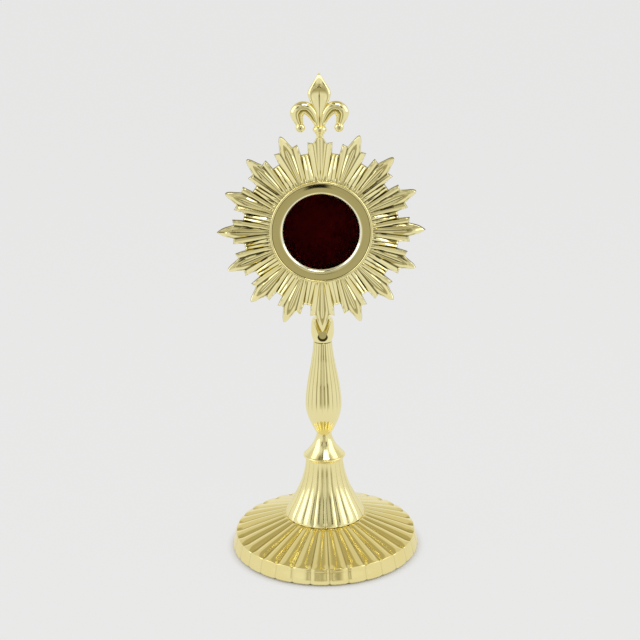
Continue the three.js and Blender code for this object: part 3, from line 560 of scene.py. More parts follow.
def knop():
    neck, belly_radius, top_radius = 3.4, 8.3, 4.25
    belly, top = KNOP_BOTTOM + 14, CALYX_BOTTOM
    widest = (belly_radius, belly)
    below = [(1.53 * neck, KNOP_BOTTOM + 3.36), (0.98 * belly_radius, KNOP_BOTTOM + 8.4)]
    above = [(belly_radius, belly + 10.9), (1.13 * top_radius, belly + 19.8)]
    wall = bezier((neck, KNOP_BOTTOM), *below, widest, 26)
    wall += bezier(widest, *above, (top_radius, top - 0.25), 40)[1:]
    wall += [(top_radius - 0.3, top), (2.2, top), (2.2, KNOP_BOTTOM)]
    bm = turned(wall, FLUTES * 16, closed=True)

    def shape(radius, z):
        if radius < 2.5:
            return 0, 1, 0
        amount = fade(z, KNOP_BOTTOM, KNOP_BOTTOM + 2.5) * (1 - 0.6 * fade(z, top - 1, top))
        return amount, 2.4, 0.25 + 0.6 * fade(z, belly - 4, belly + 3)

    return flute(bm, FLUTES, -5, 0.1, shape)


finished("fluted_bell", bell(), GILT_BELL, "gilt_brass", "stem_bell")
finished("fluted_knop", knop(), GILT, "gilt_brass", "stem_knop")

# %% [markdown]
# ## The collar
# A plain turned piece between the bell and the knop: a thin flange with a soft edge, and a trumpet
# that draws in to the narrowest place of the stem.

# %% Collar


def collar():
    bottom, top = COLLAR_BOTTOM, KNOP_BOTTOM
    edge = [(9, bottom + 0.7), (9.7, bottom + 1.05), (9.7, bottom + 1.75), (9.2, bottom + 2.1)]
    flange = rounded([(2.3, bottom), (9, bottom), *edge], 0.3)
    cone = bezier((9.2, bottom + 2.1), (7.4, bottom + 4.1), (3.9, bottom + 7.7), (3.4, top), 30)
    return turned(flange + cone[1:] + [(2.3, top)], 128, closed=True)


finished("stem_collar_turned", collar(), GILT_BELL, "gilt_brass", "stem_collar")

# %% [markdown]
# ## The sunburst
# Sixteen groups of rays make the glory round the window. A group has a centre leaf with a crease
# down its middle, a side ray on each side of it, and two short rays down to the notch between the
# groups. The whole front is one bent grid: its columns run along the creases from the hub to the
# rim, so every ridge and groove stays crisp, and its rows crowd at the rim, where the edge is
# rounded. Shade and light are painted onto it too: a dark line of painted shade in the grooves,
# around the bezel and along the edge, a painted highlight beside the edge line, and in the rays that
# lie level darker groove shade and short black strokes painted in place of dark reflections. The last
# row, behind the edge, is clean again for the plate's back.

# %% The rays' outlines
RAY_GROUPS = 16
HUB_HOLE, RAY_ROOT = 21.2, 22.7
# Points across half a centre leaf: distance from its middle line and from the centre of the window
LEAF_ENDS = {
    "main": [(0, 44.8), (0.45, 44.6), (0.95, 43.95), (1.5, 42.8), (1.9, 41.5), (2.4, 40.1), (3.02, 38.5)],
    "bottom": [(0, 46.8), (0.5, 45.9), (1.1, 44.7), (1.7, 43.3), (2.15, 42), (2.6, 40.5), (3.02, 38.5)],
    "spear": [(0, 45.6), (0.55, 44.9), (1.15, 44), (1.7, 43), (2.15, 41.8), (2.55, 40.2), (3.02, 38.5)],
    "top": [(0, 41.1), (0.6, 41.1), (1.1, 41.1), (1.5, 41.05), (2, 39.9), (2.6, 38.9), (3.02, 38.4)],
}
# Where each line leaves the hub, in degrees from the group's middle
LEAF_HUB = [0, 0.5, 1, 1.5, 1.75, 2, 2.2]
# The other lines: degrees at the hub, degrees at the rim, reach, and place across the section
RAY_LINES = [
    (2.8, 5.1, 38.6, 2.33),
    (3.5, 5.7, 38.7, 2.67),
    (4.2, 6.3, 38.8, 3),
    (4.9, 6.9, 38.9, 3.33),
    (5.6, 7.5, 39, 3.67),
    (6.2, 8, 39.1, 4),
    (6.5, 8.3, 36.7, 4.5),
    (6.8, 8.6, 34.3, 5),
    (7.5, 9, 34.3, 5.33),
    (8.2, 9.45, 34.3, 5.67),
    (9, 9.9, 34.3, 6),
    (9.8, 10.35, 34.3, 6.33),
    (10.5, 10.8, 34.3, 6.67),
    (11.25, 11.25, 34.3, 7),
]


def leaf_of(group):
    quarter = RAY_GROUPS // 4
    if group == 0:
        return "top"
    if group == 2 * quarter:
        return "bottom"
    return "main" if group % quarter else "spear"


def polar(degrees, radius):
    a = math.radians(degrees)
    return Vector((radius * math.sin(a), radius * math.cos(a)))


def ray_columns(leaf):
    """From a group's middle to halfway to the next: the ends of each column and its place across."""
    columns = []
    for i, (x, reach) in enumerate(LEAF_ENDS[leaf]):
        end = Vector((x, math.sqrt(reach * reach - x * x)))
        columns.append((polar(LEAF_HUB[i], RAY_ROOT), end, i / 3))
    for hub, rim, reach, across in RAY_LINES:
        columns.append((polar(hub, RAY_ROOT), polar(rim, reach), across))
    return columns


print("columns in half a group", len(ray_columns("main")))

# %% Their ridges and grooves


def relief(across, t, leaf):
    """Height of the front above the plate: ridges at 1.33, 3 and 6, grooves at 2, 5 and 7."""
    crest = 1.1 - 0.4 * t
    depth = (0.38 + 0.27 * t) * (0.4 + 0.6 * fade(t, 0, 0.14))
    cut = 0.7 * depth * (1 - fade(t, 0.6, 0.84))
    roof = fade(t, 0.62, 0.9)
    if leaf == "top":
        cut, roof = depth, 0
    steps = [(0, crest - cut + 0.3 * roof), (0.34, crest - 0.4 * cut + 0.15 * roof)]
    if leaf == "spear":
        steps[0] = (0, crest - 0.7 * cut + 0.6 * roof)
    steps += [(1.33, crest - 0.3 * roof), (2, crest - depth), (3, crest), (4, crest - 0.45 * depth)]
    steps += [(5, crest - 1.15 * depth), (6, crest), (7, crest - depth)]
    for (a, low), (b, high) in zip(steps, steps[1:]):
        if across <= b:
            share = (across - a) / (b - a)
            return low + (high - low) * share
    return 0


def groove_line(across, t, leaf):
    """Painted shade: 1 on the lines where two flanks meet below, less beside them, 0 elsewhere."""
    if across == 0:
        return 1 if leaf == "top" else 1 - fade(t, 0.62, 0.86)
    return max(0, 1 - 1.9 * min(abs(across - low) for low in (2, 5, 7)))


def edge_distance(point, outline):
    """Distance to an outline given as points in order."""
    best = 99
    for a, b in zip(outline, outline[1:]):
        side = b - a
        share = min(max((point - a).dot(side) / max(side.length_squared, 1e-9), 0), 1)
        best = min(best, (point - a - side * share).length)
    return best


print("middle line of a centre leaf", [round(relief(0, t / 4, "main"), 2) for t in range(5)])

# %% Sunburst
RAY_ROWS = 44
# The rows before the rays begin: distance from the window's centre, thickness and painted shade, a dark ring
# round the bezel
FRONT_ROWS = [(HUB_HOLE, 0, 0), (HUB_HOLE, 1.9, 0), (HUB_HOLE + 0.1, 2, 0), (22.35, 2, 0.7), (22.5, 2.1, 0.7)]
# The columns, counted from a group's middle, whose grooves carry black strokes painted in place of dark
# reflections
DASHED = (5, 6, 7, 13, 14, 15, 19, 20)


def half_group(leaf):
    """For each column, each row's place across and along the group, its thickness, and its painted light:
    shade above 0, a highlight below.
    """
    columns = ray_columns(leaf)
    outline = [end for _, end, _ in columns]
    outline = [Vector((-p.x, p.y)) for p in reversed(outline[1:])] + outline
    out = []
    for start, end, across in columns:
        direction = start.normalized()
        rows = [(direction * radius, thickness, dark) for radius, thickness, dark in FRONT_ROWS]
        for j in range(RAY_ROWS):
            t = 1 - (1 - j / (RAY_ROWS - 1)) ** 1.6
            point = start.lerp(end, t)
            height = relief(across, t, leaf)
            line = groove_line(across, t, leaf)
            far = edge_distance(point, outline)
            rim = math.exp(-(((far - 0.42) / 0.22) ** 2)) * fade(t, 0.3, 0.6)
            height = height + (max(height, 0.55) - height) * rim
            height = max(height - 0.6 * (1 - min(far / 0.35, 1)) ** 2, -0.3)
            # A dark line of painted shade along the edge, and a painted highlight just inside it.
            line = max(line * fade(far, 0.3, 0.7), 0.8 * (1 - fade(far, 0.05, 0.3)))
            rows.append((point, 1 + height, line - 0.5 * rim))
        # The edge itself keeps the painted shade line; the row behind it has none.
        rows += [(end, 0, 0.8), (end * 0.99, 0, 0)]
        out.append(rows)
    return out


def dash(group, column, radius):
    """Black, broken strokes painted in the grooves of the rays that lie level, in place of dark reflections.
    """
    level = fade(abs(math.sin(2 * math.pi * group / RAY_GROUPS)), 0.4, 0.85)
    stroke = noise.noise(Vector((radius * 0.16, column * 0.77, group * 3.1)))
    return level * fade(stroke, 0.04, 0.14) * fade(radius, 25, 27) * (1 - fade(radius, 33, 36))


def sunburst():
    halves = {leaf: half_group(leaf) for leaf in LEAF_ENDS}
    reach = len(halves["main"]) - 1
    per_group = 2 * reach
    count = per_group * RAY_GROUPS

    def place(i, j):
        group, column = divmod(i % count + reach, per_group)
        side = column - reach
        point, thickness, groove = halves[leaf_of(group % RAY_GROUPS)][abs(side)][j]
        x = point.x if side >= 0 else -point.x
        a = 2 * math.pi * group / RAY_GROUPS
        # Painted shade is deepened in the rays that lie level, and black strokes are painted there in place
        # of dark reflections.
        if groove > 0:  # darker in the rays that lie level
            groove *= 0.7 + 0.65 * abs(math.sin(a))
        if abs(side) in DASHED and thickness > 0.5:
            groove = max(groove, 1.6 * dash(group % RAY_GROUPS, side, point.length))
        z = WINDOW_Z + point.y * math.cos(a) - x * math.sin(a)
        return Vector((x * math.cos(a) + point.y * math.sin(a), PLATE_BACK - thickness, z)), groove

    bm = bent_grid(count + 1, len(halves["main"][0]), place)
    bmesh.ops.remove_doubles(bm, verts=bm.verts, dist=1e-3)
    ends = [e for e in bm.edges if e.is_boundary]
    bmesh.ops.bridge_loops(bm, edges=ends)
    return bm


finished("glory_of_rays", sunburst(), GILT, "gilt_brass", "sunburst", crease=28)

# %% [markdown]
# ## The calyx
# A little bulb with the sunburst's lowest ray let into its front. The pocket is pressed into a dense
# turned bulb: its points move back, to a flat floor in the round end at the bottom, and above it to
# two slopes that rise from the floor to the sides of a V. Shade is painted in as well: a dark band
# where the bulb sits on the knop, a light tone on the pocket's floor and slopes, a dark arc round its
# round end and dark lines along the V.

# %% Calyx


def calyx():
    bottom = CALYX_BOTTOM
    belly, top, radius = bottom + 4.8, bottom + 11, 5.2
    bulb = bezier((4.2, bottom + 0.12), (4.75, bottom + 1.9), (radius, bottom + 2.9), (radius, belly), 40)
    dome = bezier((radius, belly), (radius + 0.05, belly + 2.6), (5.05, top - 1.3), (4.4, top - 0.2), 56)
    crown = [(4.1, top), (3, top), (2, top), (1, top), (0, top)]
    bm = turned([(0, bottom), (4, bottom)] + bulb + dome[1:] + crown, 288)
    layer = bm.verts.layers.float["groove"]
    leaf_tip = WINDOW_Z - 46.8
    for v in bm.verts:
        x, y, z = v.co
        # Painted shade: a dark band at the bottom, where the bulb sits on the knop.
        v[layer] = 1 - fade(z, bottom + 0.1, bottom + 0.35)
        if y > PLATE_BACK or z < bottom + 0.9:
            continue
        from_end = math.hypot(x, z - bottom - 3.2)
        above = z - leaf_tip
        beside = 1.95 + 0.37 * above - abs(x) if above > -0.6 else -1
        # Inside the pocket, a light painted shade on its floor and slopes.
        if from_end < 2.15:
            v.co.y = max(y, PLATE_BACK)
            v[layer] = 0.25
        elif beside > 0:
            climb = min(max(1 - beside / (1.75 - 0.06 * above), 0), 1)
            v.co.y = max(y, PLATE_BACK - 1.3 * climb)
            v[layer] = 0.1
        # Painted shade: a dark arc round the pocket's round end and dark lines along the sides of the V.
        arc = (1 - fade(abs(from_end - 1.95), 0.3, 0.5)) * (1 - fade(z, bottom + 3, bottom + 4))
        v[layer] = max(v[layer], arc, 0.6 * (1 - fade(abs(beside), 0.05, 0.25)))
    tang = block((-3, PLATE_BACK, bottom + 6), (3, PLATE_BACK + 2.6, highest("calyx").z), 0.35)
    return together(bm, tang)


finished("ray_calyx", calyx(), GILT, "gilt_brass", "calyx")

# %% [markdown]
# ## The fleur-de-lis
# Three petals bound by a ring. The middle petal is a spade with a crease down its lower half. Each
# side petal rises, rolls over and ends in a ball, and a groove along it parts the broad outer leaf
# from the rolled inner edge. Each petal is a sheet wrapped round its own middle line. Shade is
# painted into the crease, along the groove, in the balls' dimples and as a dark line round the edges.

# %% A sheet wrapped round a line
FINIAL_Y = PLATE_BACK - 1
FINIAL_BASE = WINDOW_Z + 41.1


def through(stations, count):
    """A smooth line through stations of any number of values, at evenly spaced steps."""
    out = []
    last = len(stations) - 1
    for k in range(count):
        at = min(k / (count - 1) * last, last - 1e-9)
        i = int(at)
        t = at - i
        a, b, c, d = (stations[min(max(i + n, 0), last)] for n in (-1, 0, 1, 2))
        out.append([
            0.5 * (2 * q + (r - p) * t + (2 * p - 5 * q + 4 * r - s) * t * t + (3 * q - p - 3 * r + s) * t**3)
            for p, q, r, s in zip(a, b, c, d)
        ])
    return out


def wrapped(line, around, section):
    """A closed tube along (x, z, half width). section(across, bulge, share) gives (depth, painted shade)."""
    count = len(line)

    def place(i, j):
        angle = 2 * math.pi * i / around
        across, bulge = math.cos(angle), math.sin(angle)
        depth, groove = section(across, abs(bulge), j / (count - 1))
        x, z, width = line[j]
        ahead, behind = line[min(j + 1, count - 1)], line[max(j - 1, 0)]
        along = Vector((ahead[0] - behind[0], ahead[1] - behind[1])).normalized()
        reach = width * across
        y = FINIAL_Y - math.copysign(depth, bulge)
        return Vector((x + along.y * reach, y, z - along.x * reach)), groove

    bm = bent_grid(around + 1, count, place)
    bmesh.ops.remove_doubles(bm, verts=bm.verts, dist=1e-4)
    bmesh.ops.holes_fill(bm, edges=[e for e in bm.edges if e.is_boundary], sides=0)
    return bm


print("the fleur-de-lis stands on", round(FINIAL_BASE, 2))

# %% Petals


def middle_petal():
    stations = [(0, 197, 1.3), (0, 199.5, 1), (0, 202, 1.05), (0, 204.2, 1.75), (0, 207, 3.35)]
    stations += [(0, 209.4, 4.5), (0, 211.4, 4.93), (0, 213.2, 4.55), (0, 215.2, 3.3)]
    stations += [(0, 217.5, 1.8), (0, 219.4, 0.65), (0, 220.38, 0.02)]
    line = through(stations, 70)

    def section(across, bulge, share):
        _, z, width = line[round(share * (len(line) - 1))]
        side = abs(across)
        low = 1 - fade(z, 209, 219)
        roof = 1 - 0.6 * side
        halves = 0.44 + 0.54 * min(side / 0.76, 1)
        edge = math.sqrt(max(1 - side**9, 0))
        thick = min(2.15, 0.9 + 0.3 * width) * min(1, width / 0.9)
        # Painted shade in the crease, and a dark line of painted shade along the edges.
        crease = (1 - fade(side, 0.02, 0.14)) * (1 - fade(z, 210.5, 212.5))
        groove = max(0.85 * crease, 0.5 * fade(side, 0.92, 0.99))
        return thick * edge * (halves * low + roof * (1 - low)), groove

    return wrapped(line, 112, section)


def side_petal(side):
    reach, rise, width = 9.65, 12.45, 2.65
    # Shares of the reach, of the rise and of the width
    shares = [(0.08, 0.28, 0.34), (0.16, 0.5, 0.5), (0.33, 0.8, 0.87), (0.55, 0.97, 1.02)]
    shares += [(0.8, 0.98, 1.12), (0.98, 0.85, 1.16), (0.98, 0.7, 1), (0.93, 0.56, 0.78)]
    shares += [(0.88, 0.45, 0.62)]
    line = through([(side * x * reach, FINIAL_BASE + z * rise, w * width) for x, z, w in shares], 60)

    def section(across, bulge, share):
        place = across * side
        cut = 0.42 * math.exp(-(((place - 0.28) / 0.14) ** 2)) * fade(share, 0.02, 0.2)
        roll = 0.12 * math.exp(-(((place - 0.62) / 0.3) ** 2))
        thick = 2 * line[round(share * (len(line) - 1))][2] / width
        # Painted shade along the groove, and a dark line of painted shade along the edges.
        groove = 0.65 * (1 - fade(abs(place - 0.28), 0.03, 0.13)) * fade(share, 0.02, 0.2)
        return thick * bulge * (1 - cut + roll), max(groove, 0.5 * fade(abs(across), 0.94, 0.99))

    return wrapped(line, 88, section)


def petal_ball(side):
    bm = blank()
    bmesh.ops.create_uvsphere(bm, u_segments=48, v_segments=32, radius=2.1)
    layer = bm.verts.layers.float["groove"]
    for v in bm.verts:
        dimple = math.hypot(v.co.x, v.co.z + 0.1)
        if v.co.y < 0:
            v.co.y += 0.5 * math.exp(-((dimple / 0.55) ** 2))
            # Painted shade in the dimple.
            v[layer] = 1 - fade(dimple, 0.25, 0.6)
    return moved(bm, (side * 8.25, FINIAL_Y, FINIAL_BASE + 4.11))


lily = [middle_petal(), side_petal(1), side_petal(-1), petal_ball(1), petal_ball(-1)]
print("parts of the three petals", len(lily))

# %% Ring, neck and tang of the fleur-de-lis


def finial_ring():
    bottom = FINIAL_BASE + 1.7
    below = [(0, bottom - 0.5), (1.9, bottom - 0.5), (2.35, bottom - 0.1), (2.3, bottom + 0.45)]
    profile = rounded([*below, (3.08, bottom + 0.8)], 0.3)
    belly = [(3.08, bottom + 0.85), (3.3, bottom + 1.7), (3.1, bottom + 2.6), (2.3, bottom + 2.95)]
    profile += bezier(*belly, 12)[1:]
    bm = turned(profile + [(1.2, bottom + 3.1), (0, bottom + 3.1)], 72)
    bmesh.ops.scale(bm, verts=bm.verts, vec=(0.97, 0.83, 1))
    return moved(bm, (0, FINIAL_Y, 0))


def finial_neck():
    base = FINIAL_BASE - 0.5
    stations = [(0, base, 1.6), (0, base + 0.9, 1.3), (0, base + 1.8, 1.25), (0, base + 3.1, 1.6)]

    def section(across, bulge, share):
        across = abs(across)
        valley = 0.4 * max(0, 1 - across / 0.35) * (1 - fade(share, 0.6, 1))
        # Painted shade in the crease and along the edges.
        crease = (1 - fade(across, 0.05, 0.25)) * (1 - share)
        return (0.8 + 0.3 * share) * (bulge**0.6 - valley), max(crease, 0.5 * fade(across, 0.9, 0.98))

    return wrapped(through(stations, 16), 64, section)


tang = block((-1.6, PLATE_BACK, FINIAL_BASE - 11), (1.6, PLATE_BACK + 1.5, FINIAL_BASE + 3), 0.3)
lily += [finial_ring(), finial_neck(), tang]
finished("fleur_de_lis", together(*lily), GILT, "gilt_brass", "fleur_finial")

# %% [markdown]
# ## The window's bezel
# A turned ring: a bright bead outside, a thin groove, a broad flat face and a narrow bevel down to
# the glass. The face's outer part slopes back by a few degrees, enough to mirror a darker part of
# the room as a crescent.

# %% Bezel


def bezel():
    face = lowest("bezel_ring").y
    back = highest("bezel_ring").y
    flat = face + 0.35
    window, outer, barrel, glass = 16.65, 22.5, 20.9, 18.7
    front = [(window, face + 1.3), (window, flat + 0.95), (window + 0.12, flat + 0.75)]
    front += [(window + 0.75, flat + 0.12), (window + 1, flat), (19.4, flat), (19.55, flat)]
    front += [(19.65, flat + 0.002), (20.2, flat + 0.036), (20.8, flat + 0.074), (21.3, flat + 0.105)]
    front += bezier((21.42, flat + 0.3), (21.45, face + 0.1), (21.7, face), (21.95, face), 6)
    front += bezier((21.95, face), (22.35, face), (outer, face + 0.25), (outer, face + 0.6), 6)[1:]
    rear = [(outer, HUB_FACE), (barrel, HUB_FACE), (barrel, back), (glass, back), (glass, face + 1.3)]
    bm = turned(front + rear, 160, closed=True)
    layer = bm.verts.layers.float["groove"]
    for v in bm.verts:
        radius = math.hypot(v.co.x, v.co.y)
        inner = 1 - fade(radius, window + 0.8, window + 1)
        # Painted shade in the thin groove inside the bead, and a painted highlight on the bevel down to the
        # glass.
        v[layer] = 0.7 * (1 - fade(abs(radius - 21.4), 0.05, 0.2)) - inner
    return face_front(bm)


finished("window_bezel", bezel(), GILT_WINDOW, "gilt_brass", "bezel_ring")

# %% [markdown]
# ## The case behind the sunburst
# A shallow drum with a flange that four screws hold to the plate. Its hinge is on the right as seen
# from the front, and its catch on the left.

# %% Case, door and hinge
HINGE = Vector((26.2, 8.6, WINDOW_Z))
CASE_REAR = 8.2
DOOR_FACE = 8.5


def case_shell():
    bore, wall, flange, step = 22.6, 24, 28, PLATE_BACK + 1
    front = [(bore, CASE_REAR), (bore, PLATE_BACK), (flange, PLATE_BACK), (flange, step), (wall, step)]
    rear = [(wall, step), (wall, CASE_REAR - 1.3), (wall, CASE_REAR), (bore, CASE_REAR)]
    profile = rounded(front, 0.25) + rounded(rear, 0.25)[1:-1]
    return face_front(turned(profile, 144, closed=True))


def knuckle(low, high):
    """A rolled hinge barrel about the pin."""
    profile = rounded([(0.85, low), (1.5, low), (1.5, high), (0.85, high)], 0.18)
    return moved(turned(profile, 32, closed=True), HINGE)


def case_with_hinge():
    parts = [case_shell()]
    for low in (2.7, -6.2):
        parts.append(knuckle(low, low + 3.5))
        leaf_low = (23.3, CASE_REAR - 5, WINDOW_Z + low)
        parts.append(block(leaf_low, (HINGE.x - 0.85, CASE_REAR, WINDOW_Z + low + 3.5), 0.25))
    return together(*parts)


def door():
    radius, rim, ledge = 24.2, 2.8, DOOR_FACE - 2.3
    back = DOOR_FACE + 1.4
    pan = back - 0.4
    inside = [(0, DOOR_FACE), (21.1, DOOR_FACE), (21.1, ledge), (22.3, ledge), (22.3, DOOR_FACE)]
    edge = [(radius, DOOR_FACE), (radius, pan), (radius - 0.5, back), (radius - rim + 0.5, back)]
    profile = rounded([*inside, *edge, (radius - rim, pan), (18.4, pan)], 0.22)
    profile += bezier((18.2, pan), (17.9, pan - 0.25), (17.6, pan - 0.25), (17.3, pan), 8)
    profile += bezier((6.4, pan), (6.1, pan - 0.25), (5.8, pan - 0.25), (5.5, pan), 8)
    disc = face_front(turned(profile + [(0, pan)], 144))
    lug_end = (HINGE.x - 0.85, back - 0.05, WINDOW_Z + 2.4)
    lug = block((radius - rim, DOOR_FACE, WINDOW_Z - 2.4), lug_end, 0.2)
    tab = block((-28.2, DOOR_FACE, WINDOW_Z - 3), (-21.6, back - 0.05, WINDOW_Z + 3), 0.25)
    lip = block((-28.2, DOOR_FACE, WINDOW_Z - 3), (-27.5, back + 1.3, WINDOW_Z + 3), 0.2)
    return together(disc, knuckle(-2.4, 2.4), lug, tab, lip)


finished("case_drum", case_with_hinge(), GILT, "gilt_brass", "relic_case")
finished("case_door", door(), GILT, "gilt_brass", "rear_door", body="door")


def pin():
    top = highest("hinge_pin").z - WINDOW_Z
    head = [(1.1, top - 0.6), (1.1, top - 0.3), (0.7, top - 0.05), (0, top)]
    return moved(turned([(0, -6.2), (0.7, -6.2), (0.7, top - 0.6), *head], 24), HINGE)


finished("hinge_pin_domed", pin(), STEEL, "steel", "hinge_pin")

# %% [markdown]
# ## Screws
# Seven small cheese-head screws hold the case, the calyx and the fleur-de-lis to the plate. Each
# head is a bevelled disc, cut twice across so that the strip between the cuts can be pressed in as
# the slot.

# %% Slotted screws
HEAD_RADIUS, HEAD_HEIGHT = 1.7, 1.1
SLOT_HALF, SLOT_DEPTH = 0.28, 0.45


def screw(name, seat, turn):
    """The head of the screw that the model calls name, on a seat that far behind the plate."""
    middle = (lowest(name) + highest(name)) / 2
    bm = blank()
    size = {"radius1": HEAD_RADIUS, "radius2": HEAD_RADIUS, "depth": HEAD_HEIGHT}
    bmesh.ops.create_cone(bm, cap_ends=True, segments=32, **size)
    rim = [e for e in bm.edges if all(v.co.z > 0 for v in e.verts)]
    bmesh.ops.bevel(bm, geom=rim, offset=0.25, segments=3, profile=0.5, affect="EDGES", material=-1)
    for x_cut in (-SLOT_HALF, SLOT_HALF):
        geom = bm.verts[:] + bm.edges[:] + bm.faces[:]
        bmesh.ops.bisect_plane(bm, geom=geom, plane_co=(x_cut, 0, 0), plane_no=(1, 0, 0))
    strip = [f for f in bm.faces if f.normal.z > 0.9 and abs(f.calc_center_median().x) < SLOT_HALF]
    pressed = bmesh.ops.extrude_face_region(bm, geom=strip)["geom"]
    pressed = [g for g in pressed if isinstance(g, bmesh.types.BMVert)]
    bmesh.ops.translate(bm, verts=pressed, vec=(0, 0, -SLOT_DEPTH))
    bmesh.ops.delete(bm, geom=strip, context="FACES")
    at = Matrix.Translation((middle.x, PLATE_BACK + seat + HEAD_HEIGHT / 2, middle.z))
    place = at @ Matrix.Rotation(-math.pi / 2, 4, "X") @ Matrix.Rotation(turn, 4, "Z")
    bmesh.ops.transform(bm, matrix=place, verts=bm.verts)
    return bm


for i in range(4):
    name = f"case_screw_{i + 1}"
    finished(f"case_screw_head_{i + 1}", screw(name, 1, 0.7 * i + 0.3), STEEL, "steel", name)
seats = [("calyx_screw_1", 2.6, 0.4), ("calyx_screw_2", 2.6, 1.9), ("finial_screw", 1.5, 1.1)]
for name, seat, turn in seats:
    finished(name + "_head", screw(name, seat, turn), STEEL, "steel", name)

# %% [markdown]
# ## Velvet and felt
# The relic lies on a padded disc: card, wadding and velvet, glued to the door. It swells in the
# middle and rounds off quickly at its edge, and its face is slightly uneven.
# The foot's felt is a flat disc, cut a little smaller than the foot.

# %% Velvet pad and felt disc


def velvet_pad():
    radius, back = 20.7, DOOR_FACE
    front = lowest("velvet_backing").y
    profile = [(0, back), (radius - 0.35, back), (radius, back - 0.35)]
    shoulder = [(radius, front + 1), (radius - 0.8, front + 0.65), (radius - 2.2, front + 0.45)]
    profile += bezier((radius, back - 0.9), *shoulder, 14)
    swell = [(14, front + 0.16), (7, front + 0.05), (0, front + 0.05)]
    profile += bezier((radius - 2.4, front + 0.43), *swell, 40)[1:]
    bm = face_front(turned(profile, 160))
    for v in bm.verts:
        if v.co.y < back - 0.6:
            soft = noise.noise(v.co * 0.22) * 0.6 + noise.noise(v.co * 0.9) * 0.25
            v.co.y = max(v.co.y + 0.12 * soft, front + 0.02)
    return bm


def felt_disc():
    radius, thick = 41.9, FOOT_BOTTOM - 0.02
    profile = rounded([(0, 0), (radius, 0), (radius, thick), (0, thick)], 0.22)
    bm = turned(profile, 192)
    for v in bm.verts:
        edge = 0.0016 * fade(math.hypot(v.co.x, v.co.y), radius - 0.5, radius)
        v.co.x *= 1 + edge * noise.noise(v.co * 0.9)
        v.co.y *= 1 + edge * noise.noise(v.co * 0.9)
    return bm


velvet = finished("velvet_pad", velvet_pad(), VELVET, "velvet", "velvet_backing", body="door", crease=60)
felt = finished("felt_disc", felt_disc(), FELT, "felt", "foot_felt", crease=60)

# %% Finishes of the model's own pieces that stay


def dress(material, *nodes):
    for name in nodes:
        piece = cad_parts[name]
        piece.data.materials.clear()
        piece.data.materials.append(material)


dress(GLASS, "window_glass")
dress(INNER_BRASS, "glass_retainer", "door_catch")
dress(STEEL, "tie_rod", "rod_washer", "rod_nut")
print("six of the model's own pieces dressed")

# %% [markdown]
# ## The studio
# The object stands on a pale table in front of a pale wall. Polished gold mirrors its whole
# surroundings, so the room matters more than the lamps. The camera's place and lens were fitted to
# the photo.

# %% Camera
PALE_WALL = (0.84, 0.84, 0.845, 1)
SENSOR_WIDTH = 36
PICTURE_PIXELS, LENS_PIXELS = 640, 1250
LOOK_DOWN, ROLL = 16.68, -0.85  # degrees
EYE = (-0.00109, -0.5387, 0.2716)
camera_data = bpy.data.cameras.new("camera")
camera_data.sensor_width = SENSOR_WIDTH
camera_data.lens = SENSOR_WIDTH * LENS_PIXELS / PICTURE_PIXELS
camera = in_scene("camera", camera_data)
look = Matrix.Rotation(math.radians(90 - LOOK_DOWN), 4, "X") @ Matrix.Rotation(math.radians(ROLL), 4, "Z")
camera.matrix_world = Matrix.Translation(EYE) @ look
bpy.context.scene.camera = camera
print("lens", round(camera_data.lens, 2))

# %% [markdown]
# ## The table
# The table is matt, and its own shade shows close to the foot only. Mirrors see its far part dim,
# with the dark strip of a stand, which gives the foot its contrast.

# %% Floor


def floor_finish():
    """The camera and mirrors see one even tone in it, and from below it is clear."""
    material, sheet, place = new_sheet("table_pale")
    x, y, _ = sheet.parts(place)
    ahead = sheet.math("MAXIMUM", 0 - y, 0.01)
    camera_ray = sheet.ray("Camera")
    near = sheet.math("MAXIMUM", sheet.ramp(y, -0.32, -0.15), camera_ray)
    near = sheet.math("MAXIMUM", near, sheet.ramp(sheet.math("ABSOLUTE", x) / ahead, 0.22, 0.5))
    stand = sheet.ramp(sheet.math("ABSOLUTE", x / ahead + 0.0105), 0.038, 0.045, 1, 0)
    stand = stand * sheet.ramp(y, -1.9, -1.6, 1, 0) * (1 - camera_ray)
    share = sheet.ramp(sheet.length(place), 0.0405, 0.0475, 0, 0.86)
    colour = sheet.blend(sheet.grain(place, 30, 3) * 0.06, (0.80, 0.80, 0.805, 1), (0.7, 0.7, 0.7, 1))
    inputs = {"Base Color": colour, "Roughness": 0.8, "Specular IOR Level": 0.2}
    matt = sheet.node("BsdfPrincipled", None, inputs)
    shown = sheet.blend(near, (0.36, 0.335, 0.23, 1), PALE_WALL)
    shown = sheet.blend(stand, shown, (0.005, 0.005, 0.005, 1))
    even = sheet.node("Emission", None, {"Color": shown, "Strength": 1})
    seen = sheet.math("MAXIMUM", camera_ray, sheet.ray("Glossy"))
    seen = sheet.math("MAXIMUM", seen, sheet.ray("Transmission"))
    share = seen * sheet.math("MAXIMUM", share, stand)
    top = sheet.node("MixShader", None, {0: share, 1: matt, 2: even})
    clear = sheet.node("BsdfTransparent")
    under = sheet.node("NewGeometry", None, None, "Backfacing")
    both = sheet.node("MixShader", None, {0: under, 1: top, 2: clear})
    sheet.node("OutputMaterial", None, {"Surface": both})
    return material


bm = bmesh.new()
bmesh.ops.create_grid(bm, x_segments=16, y_segments=16, size=20)
mesh = bpy.data.meshes.new("table")
bm.to_mesh(mesh)
bm.free()
mesh.materials.append(floor_finish())
table = in_scene("table", mesh)
table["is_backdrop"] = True
print("table", len(mesh.polygons), "faces")

# %% [markdown]
# ## The room and the lamps
# The room is pale, but behind the camera it has a dim middle, two dark doors and a few beams, which
# the gold shows as dark lines. The camera itself sees a plain wall. A softbox hangs over the table
# and one stands on each side.

# %% Room
world = bpy.data.worlds.new("room")
bpy.context.scene.world = world
world.use_nodes = True
sheet = Sheet(world.node_tree)
direction = sheet.node("TexCoord", None, None, "Generated")
east, north, up = sheet.parts(direction)
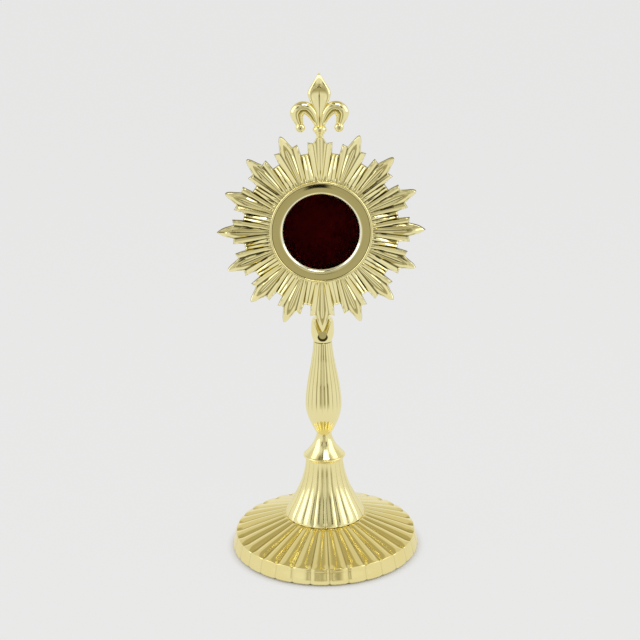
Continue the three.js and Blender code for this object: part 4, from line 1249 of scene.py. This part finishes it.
# How far a direction lies to the side, whatever its height
beside = sheet.math("ABSOLUTE", east) / sheet.math("MAXIMUM", sheet.math("SQRT", 1 - up * up), 0.01)
front = sheet.ramp(0 - north, 0.1, 0.3)
middle = sheet.ramp(beside, 0.26, 0.46, 1, 0) * sheet.ramp(up, 0.86, 0.95, 1, 0)
middle = middle * sheet.ramp(sheet.grain(direction, 5, 2), 0.35, 0.65, 0.22, 0.55)
doors = sheet.ramp(beside, 0.3, 0.36) * sheet.ramp(beside, 0.5, 0.6, 1, 0)
doors = doors * sheet.ramp(up, 0.33, 0.38) * sheet.ramp(up, 0.58, 0.64, 1, 0)
doors = doors * sheet.ramp(sheet.grain(direction, 8, 1), 0.4, 0.5, 0.45, 0.95)
beams = sheet.ramp(up, 0.8, 0.84) * sheet.ramp(up, 0.93, 0.97, 1, 0)
beams = beams * sheet.ramp(sheet.grain(direction, 11, 1), 0.46, 0.54, 0.2, 0.95)
dark = front * sheet.math("MAXIMUM", sheet.math("MAXIMUM", middle, doors), beams)
ceiling = sheet.ramp(up, 0.74, 0.86)
behind = sheet.ramp(up, 0.22, 0.5) * sheet.ramp(north, -0.2, 0.2)
level = (0.87 - ceiling * 0.25 - behind * 0.16) * (1 - dark)
warm = sheet.math("MAXIMUM", ceiling + behind * 0.4, dark)
tint = sheet.blend(warm, (0.98, 0.99, 1, 1), (1, 0.92, 0.62, 1))
seen = sheet.ray("Camera")
tint = sheet.blend(seen, tint, PALE_WALL)
level = level * (1 - seen) + seen
glow = sheet.node("Background", None, {"Color": tint, "Strength": level})
sheet.node("OutputWorld", None, {"Surface": glow})
print("nodes of the room", len(world.node_tree.nodes))

# %% Lamps


def softbox(name, place, aim, width, height, power):
    data = bpy.data.lights.new(name, "AREA")
    data.shape = "RECTANGLE"
    data.size = width
    data.size_y = height
    data.energy = power
    lamp = in_scene(name, data)
    lamp.location = place
    lamp.rotation_mode = "QUATERNION"
    lamp.rotation_quaternion = (Vector(aim) - Vector(place)).to_track_quat("-Z", "Y")


softbox("softbox_top", (0.15, -0.52, 0.9), (0, 0, 0.05), 0.4, 0.26, 1)
for name, x in (("softbox_left", -0.95), ("softbox_right", 0.95)):
    softbox(name, (x, -0.25, 0.6), (0, 0, 0.12), 0.7, 0.8, 1.7)
print("lamps", len(bpy.data.lights))

# %% The view settings and the last look at the sizes
bpy.context.scene.view_settings.view_transform = "Standard"
low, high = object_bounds()
grown = zip((*cad_low, *high), (*low, *cad_high))
print("grown by, in millimetres", [round((a - b) / MM, 3) for a, b in grown])
